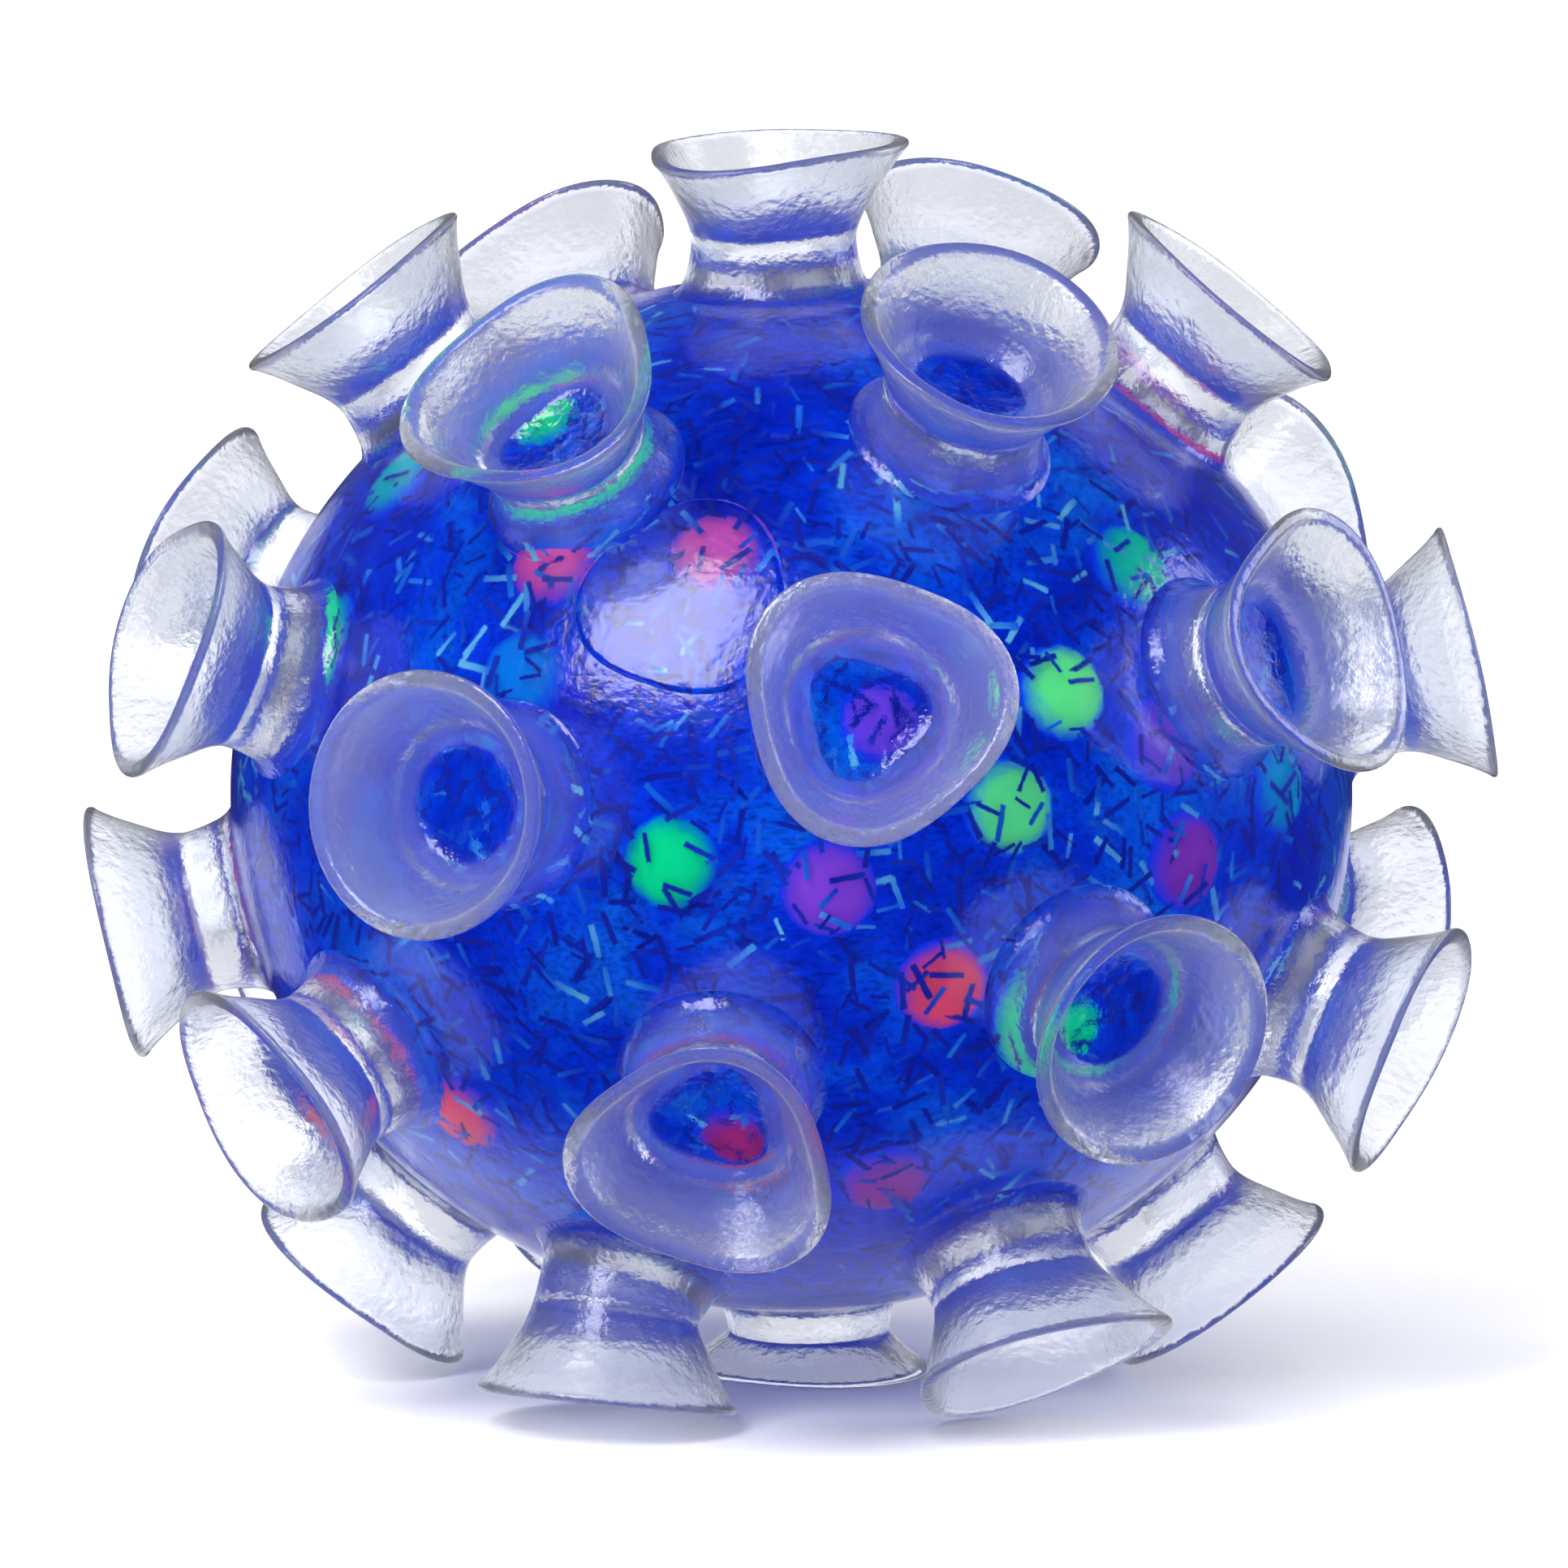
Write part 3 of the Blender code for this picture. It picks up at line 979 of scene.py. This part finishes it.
    def build(self) -> bpy.types.Object:
        """Build the cup.

        Returns:
            The cup.
        """
        points, frost, haze = self.shape()
        count = len(points) // self.columns
        foot = np.array(self.plan.foot)
        under = points[: self.columns] - self.bond_depth * foot[:3, 2]
        bottom = self.ball.surface_point(self.plan.direction, self.bond_middle)[0]
        inner = points[-self.columns :].mean(axis=0)
        everything = np.vstack([under, points, [list(bottom)], [inner]])
        faces, slots = capped_rings(count + 1, self.columns)
        cup = mesh_object(f"{self.plan.name}_clear", everything, faces, np.array(slots))
        ends = [0.0, 0.0]
        set_attribute(cup, "hollow", np.concatenate([np.zeros(self.columns), frost, ends]))
        set_attribute(cup, "haze", np.concatenate([np.zeros(self.columns), haze, ends]))
        cup.data.materials.append(self.finish)
        cup.data.materials.append(self.bonded)
        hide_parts(self.plan.name)
        return cup

    def join(self, cup: bpy.types.Object, bodies: dict) -> None:
        """Tie the whole cup to the ball when the frame has no body for its bell; otherwise bake its
        placement into its mesh, tied to no body.
        """
        if self.plan.body not in bodies:
            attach(cup, "ball")
            return
        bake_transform(cup)


# --- skin, plug, gel ---------------------------------------------------------------------------


@dataclass
class FillPlug:
    """The three-lobed plug let into the skin, with a fine groove round it."""

    ball: BallShape
    finish: bpy.types.Material
    bonded: bpy.types.Material
    azimuth: float = -12.0
    elevation: float = 28.5
    radius: float = 6.4 * MM
    lobes: float = 0.07
    turn: float = 73.0
    thickness: float = 1.0 * MM
    flat_share: float = 0.955
    columns: int = 120
    rings: int = 14

    # The groove side of the plug: share of its reach, and mm over the ball
    EDGE = ((1.0, -0.20), (0.985, -0.07), (0.965, -0.015))

    def placement(self) -> Matrix:
        """Return the plug's place: local Z outwards and X towards its first lobe."""
        point, normal = self.ball.surface_point(from_front(self.azimuth, self.elevation))
        place = CupPattern.placement(point, normal, UP)
        return place @ Matrix.Rotation(math.radians(self.turn - 90.0), 4, "Z")

    def outline(self, around: np.ndarray) -> np.ndarray:
        """Return the plug's reach at angles round it."""
        return self.radius * (1.0 + self.lobes * np.cos(3.0 * around))

    def edge_distance(self, points: np.ndarray) -> np.ndarray:
        """Return each point's distance outside the plug's outline, negative inside."""
        local = moved(points, np.array(self.placement().inverted()))
        around = np.arctan2(local[:, 1], local[:, 0])
        distance = np.hypot(local[:, 0], local[:, 1]) - self.outline(around)
        return np.where(local[:, 2] > -FRONT_DEPTH, distance, self.ball.radius)

    def build(self, cups: list[CupPlan]) -> bpy.types.Object:
        """Build the plug.

        Args:
            cups: the cups, one of which stands over the plug's corner.

        Returns:
            The plug, riding on the ball.
        """
        place = np.array(self.placement())
        axis = place[:3, 2]
        around = 2.0 * np.pi * np.arange(self.columns) / self.columns
        shares = [1.0 - (k / self.rings) ** 1.4 for k in range(self.rings)]
        rows = [(1.0, -self.thickness), *((share, height * MM) for share, height in self.EDGE)]
        rows += [(self.flat_share * share, 0.0) for share in shares]
        points = []
        for share, height in rows:
            reach = self.outline(around) * share
            local = np.stack([reach * np.cos(around), reach * np.sin(around), 0.0 * around], axis=-1)
            base = moved(local, place)
            rise = self.ball.height_over(base, axis) + height
            points.append(base + rise[:, None] * axis)
        centre = place[:3, 3]
        everything = np.vstack([*points, [centre - self.thickness * axis], [centre]])
        faces, slots = capped_rings(len(rows), self.columns)
        plug = mesh_object("fill_plug_clear", everything, faces, np.array(slots))
        set_attribute(plug, "hollow", np.zeros(len(everything)))
        set_attribute(plug, "bond_edge", feet_distance(everything, cups, FOOT_EDGE) / MM)
        plug.data.materials.append(self.finish)
        plug.data.materials.append(self.bonded)
        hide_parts("fill_plug")
        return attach(plug, "ball")


def feet_distance(points: np.ndarray, cups: list[CupPlan], radius: float) -> np.ndarray:
    """Return each point's distance outside the nearest cup's foot, negative inside."""
    nearest = np.full(len(points), 1.0)
    for plan in cups:
        pivot = np.array(plan.foot.translation)
        axis = np.array(plan.foot.to_3x3().col[2])
        offset = points - pivot
        along = offset @ axis
        across = np.linalg.norm(offset - along[:, None] * axis, axis=1)
        across = np.where(along > -FRONT_DEPTH, across, 1.0)
        nearest = np.minimum(nearest, across)
    return nearest - radius


@dataclass
class ClearSkin:
    """The moulded skin with the clear outer layer of gel, which has the same index."""

    ball: BallShape
    finish: bpy.types.Material
    rows: int = 110
    columns: int = 220
    foot_radius: float = FOOT_EDGE - BOND_LAP
    # Where the skin turns cloudy: the direction, from what share of it, and how much.
    cloudy_towards: tuple = (0.64, -0.20, -0.74)
    cloudy_from: float = 0.90
    thick_haze: float = 1.3
    inner_gap: float = 0.6 * MM

    def cloudiness(self, points: np.ndarray) -> np.ndarray:
        """Return how cloudy the skin is: cloudier low on one side, clear elsewhere."""
        towards = np.array(self.cloudy_towards)
        share = points @ towards / (np.linalg.norm(points, axis=1) * np.linalg.norm(towards))
        rise = np.clip((share - self.cloudy_from) / (1.0 - self.cloudy_from), 0.0, 1.0)
        return self.thick_haze * rise * rise * (3.0 - 2.0 * rise)

    def build(self, cups: list[CupPlan], plug: FillPlug) -> bpy.types.Object:
        """Build the skin, marked where cups and plug are bonded on.

        Returns:
            The skin, riding on the ball.
        """
        outer = self.ball.sphere_points(self.rows, self.columns, 0.0)
        inner = self.ball.sphere_points(24, 48, self.ball.gel_depth + self.inner_gap)
        points = np.vstack([outer, inner])
        faces = sphere_faces(self.rows, self.columns)
        faces += sphere_faces(24, 48, start=len(outer), inward=True)
        skin = mesh_object("skin_clear", points, faces)
        feet = feet_distance(points, cups, self.foot_radius)
        edge = plug.edge_distance(points)
        set_attribute(skin, "hollow", np.zeros(len(points)))
        set_attribute(skin, "haze", self.cloudiness(points))
        set_attribute(skin, "bond_edge", np.minimum(feet, edge) / MM)
        skin.data.materials.append(self.finish)
        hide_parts("skin")
        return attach(skin, "ball")


@dataclass
class GelFill:
    """The cloudy gel, the beads sunk in it and the cut foil that floats over it."""

    ball: BallShape
    finish: bpy.types.Material
    foil: bpy.types.Material
    flakes_per_m2: float = 640000.0
    flake_length: float = 1.9 * MM
    flake_width: float = 0.33 * MM
    flake_thickness: float = 0.03 * MM
    lowest: float = -0.05 * MM
    highest: float = 2.5 * MM
    tilt: float = 0.3
    spin: float = 3.1416
    crowding: float = 3.0
    seed: int = 7

    def build_core(self) -> bpy.types.Object:
        """Build the cloudy gel."""
        points = self.ball.sphere_points(64, 128, self.ball.gel_depth)
        core = mesh_object("gel_cloud", points, sphere_faces(64, 128))
        core.data.materials.append(self.finish)
        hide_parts("gel_fill")
        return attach(core, "gel")

    def flake_tree(self) -> Tree:
        """Make the node tree that strews flakes over a surface, most of them floating high."""
        tree = bpy.data.node_groups.new("strew_flakes", "GeometryNodeTree")
        face = tree.interface
        face.new_socket("Surface", in_out="INPUT", socket_type="NodeSocketGeometry")
        for name in ("Density", "Length", "Width", "Thickness", "Lowest", "Highest"):
            face.new_socket(name, in_out="INPUT", socket_type="NodeSocketFloat")
        face.new_socket("Seed", in_out="INPUT", socket_type="NodeSocketInt")
        face.new_socket("Foil", in_out="INPUT", socket_type="NodeSocketMaterial")
        face.new_socket("Flakes", in_out="OUTPUT", socket_type="NodeSocketGeometry")
        given = tree.nodes.new("NodeGroupInput").outputs
        strewn = add_node(
            tree,
            "GeometryNodeDistributePointsOnFaces",
            Mesh=given["Surface"],
            Density=given["Density"],
            Seed=given["Seed"],
        )
        chance = add_node(tree, "FunctionNodeRandomValue", in2=0.0, in3=1.0, Seed=3)
        sunk = add_node(
            tree, "ShaderNodeMath", {"operation": "POWER"}, in0=chance.outputs[1], in1=self.crowding
        )
        height = add_node(
            tree,
            "ShaderNodeMapRange",
            Value=sunk.outputs[0],
            To_Min=given["Highest"],
            To_Max=given["Lowest"],
        )
        lift = add_node(
            tree,
            "ShaderNodeVectorMath",
            {"operation": "SCALE"},
            in0=strewn.outputs["Normal"],
            Scale=height.outputs["Result"],
        )
        floated = add_node(
            tree, "GeometryNodeSetPosition", Geometry=strewn.outputs["Points"], Offset=lift.outputs[0]
        )
        spin = add_node(tree, "FunctionNodeRandomValue", {"data_type": "FLOAT_VECTOR"}, Seed=5)
        spin.inputs[0].default_value = (-self.tilt, -self.tilt, -self.spin)
        spin.inputs[1].default_value = (self.tilt, self.tilt, self.spin)
        tumble = add_node(
            tree,
            "FunctionNodeRotateEuler",
            {"space": "LOCAL"},
            Rotation=strewn.outputs["Rotation"],
            Rotate_By=spin.outputs[0],
        )
        size = add_node(
            tree, "ShaderNodeCombineXYZ", X=given["Length"], Y=given["Width"], Z=given["Thickness"]
        )
        flake = add_node(tree, "GeometryNodeMeshCube", Size=size.outputs[0])
        stretch = add_node(tree, "FunctionNodeRandomValue", in2=0.6, in3=1.25, Seed=9)
        placed = add_node(
            tree,
            "GeometryNodeInstanceOnPoints",
            Points=floated.outputs["Geometry"],
            Instance=flake.outputs["Mesh"],
            Rotation=tumble.outputs[0],
            Scale=stretch.outputs[1],
        )
        # A random number per flake, stored for its painted glint in the foil's finish.
        flash = add_node(tree, "FunctionNodeRandomValue", in2=0.0, in3=1.0, Seed=11)
        marked = add_node(
            tree,
            "GeometryNodeStoreNamedAttribute",
            {"data_type": "FLOAT", "domain": "INSTANCE"},
            Geometry=placed.outputs["Instances"],
            Name="flash",
            Value=flash.outputs[1],
        )
        real = add_node(tree, "GeometryNodeRealizeInstances", Geometry=marked.outputs["Geometry"])
        dressed = add_node(
            tree, "GeometryNodeSetMaterial", Geometry=real.outputs["Geometry"], Material=given["Foil"]
        )
        end = tree.nodes.new("NodeGroupOutput")
        tree.links.new(dressed.outputs["Geometry"], end.inputs[0])
        return tree

    def build_flakes(self) -> bpy.types.Object:
        """Strew the foil between the cloudy gel and the skin."""
        points = self.ball.sphere_points(40, 80, self.ball.gel_depth)
        seedbed = mesh_object("flake_seedbed", points, sphere_faces(40, 80))
        modifier = seedbed.modifiers.new("flakes", "NODES")
        tree = self.flake_tree()
        modifier.node_group = tree
        values = {
            "Density": self.flakes_per_m2,
            "Length": self.flake_length,
            "Width": self.flake_width,
            "Thickness": self.flake_thickness,
            "Lowest": self.lowest,
            "Highest": self.highest,
            "Seed": self.seed,
            "Foil": self.foil,
        }
        for item in tree.interface.items_tree:
            if item.in_out == "INPUT" and item.name in values:
                modifier[item.identifier] = values[item.name]
        graph = bpy.context.evaluated_depsgraph_get()
        mesh = bpy.data.meshes.new_from_object(seedbed.evaluated_get(graph))
        bpy.data.objects.remove(seedbed)
        flakes = bpy.data.objects.new("glitter_flakes", mesh)
        bpy.context.scene.collection.objects.link(flakes)
        LOG.info("flakes: %d triangles", 2 * len(mesh.polygons))
        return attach(flakes, "gel")


class BeadColour(Enum):
    """Dyes of the beads."""

    GREEN = "00E490"
    LIME = "60F48C"
    PINK = "EC549C"
    CORAL = "FC5058"
    MAGENTA = "A02874"


@dataclass
class Bead:
    """One bead sunk in the gel."""

    name: str
    middle: np.ndarray
    colour: BeadColour
    veil: float
    rows: int = 20
    columns: int = 40

    def build(self, radius: float) -> bpy.types.Object:
        """Build the bead.

        Args:
            radius: the bead's radius.

        Returns:
            The bead, carried by the gel.
        """
        unit = BallShape(radius=radius, squash=1.0)
        points = unit.sphere_points(self.rows, self.columns, 0.0) + self.middle
        bead = mesh_object(self.name, points, sphere_faces(self.rows, self.columns))
        name = f"dyed_bead_{self.colour.name.lower()}_{round(self.veil * 100):02d}"
        finish = bpy.data.materials.get(name) or BeadPlastic(name, self.colour.value, self.veil).build()
        bead.data.materials.append(finish)
        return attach(bead, "gel")


@dataclass
class BeadSet:
    """All the beads. A veil of 0 lies just under the skin and 1 is lost in the gel."""

    ball: BallShape
    radius: float = 2.9 * MM
    sunk: float = 4.95 * MM
    veils: dict = field(
        default_factory=lambda: {
            "bead_green_01": 0.45,
            "bead_green_02": 0.10,
            "bead_green_04": 0.25,
            "bead_lime_02": 0.05,
            "bead_green_05": 0.65,
            "bead_green_06": 0.10,
            "bead_green_07": 0.80,
            "bead_pink_01": 0.15,
            "bead_pink_02": 0.25,
            "bead_coral_01": 0.85,
            "bead_coral_02": 0.75,
            "bead_coral_03": 0.10,
            "bead_coral_04": 0.12,
            "bead_magenta_01": 0.40,
            "bead_magenta_02": 0.25,
            "bead_magenta_03": 0.65,
        }
    )
    # More of the far side's beads: colour, degrees round from the front, degrees up, veil
    far_side: tuple = (
        (BeadColour.GREEN, 98.0, -8.0, 0.15),
        (BeadColour.CORAL, 108.0, 44.0, 0.25),
        (BeadColour.PINK, 112.0, -34.0, 0.30),
        (BeadColour.LIME, 141.0, -12.0, 0.10),
        (BeadColour.CORAL, 148.0, 10.0, 0.20),
        (BeadColour.GREEN, 152.0, 50.0, 0.30),
        (BeadColour.MAGENTA, 156.0, -40.0, 0.20),
        (BeadColour.GREEN, 190.0, -14.0, 0.15),
        (BeadColour.LIME, 196.0, 30.0, 0.25),
        (BeadColour.CORAL, 207.0, 2.0, 0.15),
        (BeadColour.PINK, 214.0, 48.0, 0.35),
        (BeadColour.GREEN, 232.0, 14.0, 0.20),
        (BeadColour.GREEN, 238.0, -36.0, 0.30),
        (BeadColour.CORAL, 252.0, 36.0, 0.20),
        (BeadColour.MAGENTA, 262.0, -12.0, 0.25),
    )

    def build(self, nodes: dict) -> int:
        """Build every bead that the frame has, and the rest of the far side's.

        Args:
            nodes: the frame's nodes by name.

        Returns:
            How many there are.
        """
        names = sorted(n for n in nodes if n.startswith("bead_"))
        for name in names:
            low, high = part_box(name)
            colour = BeadColour[name.split("_")[1].upper()]
            middle = np.array((low + high) / 2.0)
            bead = Bead(f"{name}_ball", middle, colour, self.veils.get(name, 0.0)).build(self.radius)
            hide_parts(name)
        for number, (colour, around, above, veil) in enumerate(self.far_side, start=1):
            middle = np.array(self.ball.surface_point(from_front(around, above), self.sunk)[0])
            Bead(f"far_bead_{number:02d}", middle, colour, veil).build(self.radius)
        return len(names) + len(self.far_side)


# --- studio ------------------------------------------------------------------------------------


@dataclass
class Studio:
    """White paper sweep, soft lights and the camera."""

    floor_z: float
    camera_distance: float = 0.653
    camera_elevation: float = 6.75
    lens: float = 240.0
    shift_x: float = -0.0047
    shift_y: float = 0.0053
    wall_seen: float = 0.90
    room_seen: float = 0.34
    wall_mirrored: float = 0.12
    room_mirrored: float = 0.02
    matt_light: float = 1.12
    room_tint: str = "F7F7FB"
    floor_side: float = 12.0

    def build_floor(self) -> None:
        """Lay the paper."""
        side = self.floor_side
        square = ((-side, -side), (side, -side), (side, side), (-side, side))
        corners = np.array([(x, y, self.floor_z) for x, y in square])
        floor = mesh_object("paper_floor", corners, [(0, 1, 2, 3)])
        floor.data.materials.append(StudioPaper().build())

    def build_world(self) -> None:
        """Light the room: a white wall behind, and a dim room in front with soft boxes in it."""
        world = bpy.data.worlds.new("white_wall_and_dim_room")
        bpy.context.scene.world = world
        world.use_nodes = True
        tree = world.node_tree
        path = add_node(tree, "ShaderNodeLightPath").outputs
        place = add_node(tree, "ShaderNodeTexCoord").outputs["Generated"]
        ahead = add_node(tree, "ShaderNodeSeparateXYZ", Vector=place).outputs["Y"]
        seen = add_node(
            tree,
            "ShaderNodeMapRange",
            {"interpolation_type": "SMOOTHSTEP"},
            Value=ahead,
            From_Min=-0.5,
            From_Max=0.6,
            To_Min=self.room_seen,
            To_Max=self.wall_seen,
        )
        mirrored = add_node(
            tree,
            "ShaderNodeMapRange",
            {"interpolation_type": "SMOOTHSTEP"},
            Value=ahead,
            From_Min=0.1,
            From_Max=0.8,
            To_Min=self.room_mirrored,
            To_Max=self.wall_mirrored,
        )
        through = add_node(
            tree,
            "ShaderNodeMix",
            in0=path["Is Transmission Ray"],
            in2=mirrored.outputs["Result"],
            in3=seen.outputs["Result"],
        )
        tinted = add_node(
            tree,
            "ShaderNodeMix",
            {"data_type": "RGBA", "blend_type": "MULTIPLY"},
            in0=1.0,
            in6=through.outputs[0],
            in7=linear(self.room_tint),
        )
        matt = add_node(
            tree,
            "ShaderNodeMix",
            {"data_type": "RGBA"},
            in0=path["Is Diffuse Ray"],
            in6=tinted.outputs[2],
            in7=(self.matt_light, self.matt_light, self.matt_light, 1.0),
        )
        colour = add_node(
            tree,
            "ShaderNodeMix",
            {"data_type": "RGBA"},
            in0=path["Is Camera Ray"],
            in6=matt.outputs[2],
            in7=(1.0, 1.0, 1.0, 1.0),
        )
        tree.links.new(colour.outputs[2], tree.nodes["Background"].inputs["Color"])

    def add_light(
        self, name: str, direction: tuple, distance: float, size: float, power: float
    ) -> None:
        """Hang a square soft box that points at the ball.

        Args:
            name: the lamp's name.
            direction: where it hangs, seen from the ball.
            distance: how far away.
            size: the box's side.
            power: watts.
        """
        data = bpy.data.lights.new(name, "AREA")
        data.shape = "SQUARE"
        data.size = size
        data.energy = power
        lamp = bpy.data.objects.new(name, data)
        bpy.context.scene.collection.objects.link(lamp)
        towards = Vector(direction).normalized()
        lamp.location = towards * distance
        lamp.rotation_mode = "QUATERNION"
        lamp.rotation_quaternion = towards.to_track_quat("Z", "Y")

    def build_camera(self) -> None:
        """Place the camera in front, looking a little down."""
        data = bpy.data.cameras.new("camera")
        data.lens = self.lens
        data.sensor_width = 36.0
        data.shift_x = self.shift_x
        data.shift_y = self.shift_y
        data.clip_end = 50.0
        camera = bpy.data.objects.new("camera", data)
        bpy.context.scene.collection.objects.link(camera)
        above = math.radians(self.camera_elevation)
        back = Vector((0.0, -math.cos(above), math.sin(above)))
        camera.location = back * self.camera_distance
        camera.rotation_mode = "QUATERNION"
        camera.rotation_quaternion = back.to_track_quat("Z", "Y")
        bpy.context.scene.camera = camera

    def build(self) -> None:
        """Set everything up."""
        self.build_floor()
        self.build_world()
        self.add_light("key_soft_box", (-0.40, -0.62, 0.73), 0.9, 0.46, 8.5)
        self.add_light("side_soft_box", (1.0, 0.25, 0.35), 1.1, 0.5, 4.0)
        self.build_camera()
        bpy.context.scene.view_settings.view_transform = "Standard"


def main() -> None:
    """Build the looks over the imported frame."""
    logging.basicConfig(level=logging.INFO, format="%(message)s")
    for item in list(bpy.data.objects):
        bpy.data.objects.remove(item, do_unlink=True)
    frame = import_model()
    ball = BallShape()
    pattern = CupPattern(ball)
    plans = pattern.plans()
    bonded = BondedFace().build()
    cup_tpr = ClearTpr(name="clear_cup_tpr").build()
    skin_tpr = ClearTpr(
        name="clear_skin_tpr", roughness_outside=0.17, peel_depth_mm=0.035, bonded_by_attribute=True
    ).build()
    for number, plan in enumerate(plans):
        cup = SuctionCup(plan, ball, pattern, cup_tpr, bonded, seed=100 + number)
        piece = cup.build()
        cup.join(piece, frame["bodies"])
        LOG.info("%s: %d faces", piece.name, len(piece.data.polygons))
    plug = FillPlug(ball, skin_tpr, bonded)
    plug.build(plans)
    skin = ClearSkin(ball, skin_tpr).build(plans, plug)
    LOG.info("%s: %d faces", skin.name, len(skin.data.polygons))
    gel = GelFill(ball, BlueGel().build(), GlitterFoil().build())
    gel.build_core()
    gel.build_flakes()
    LOG.info("beads: %d", BeadSet(ball).build(frame["nodes"]))
    Studio(floor_z=pattern.table_z).build()


if __name__ == "__main__":
    main()
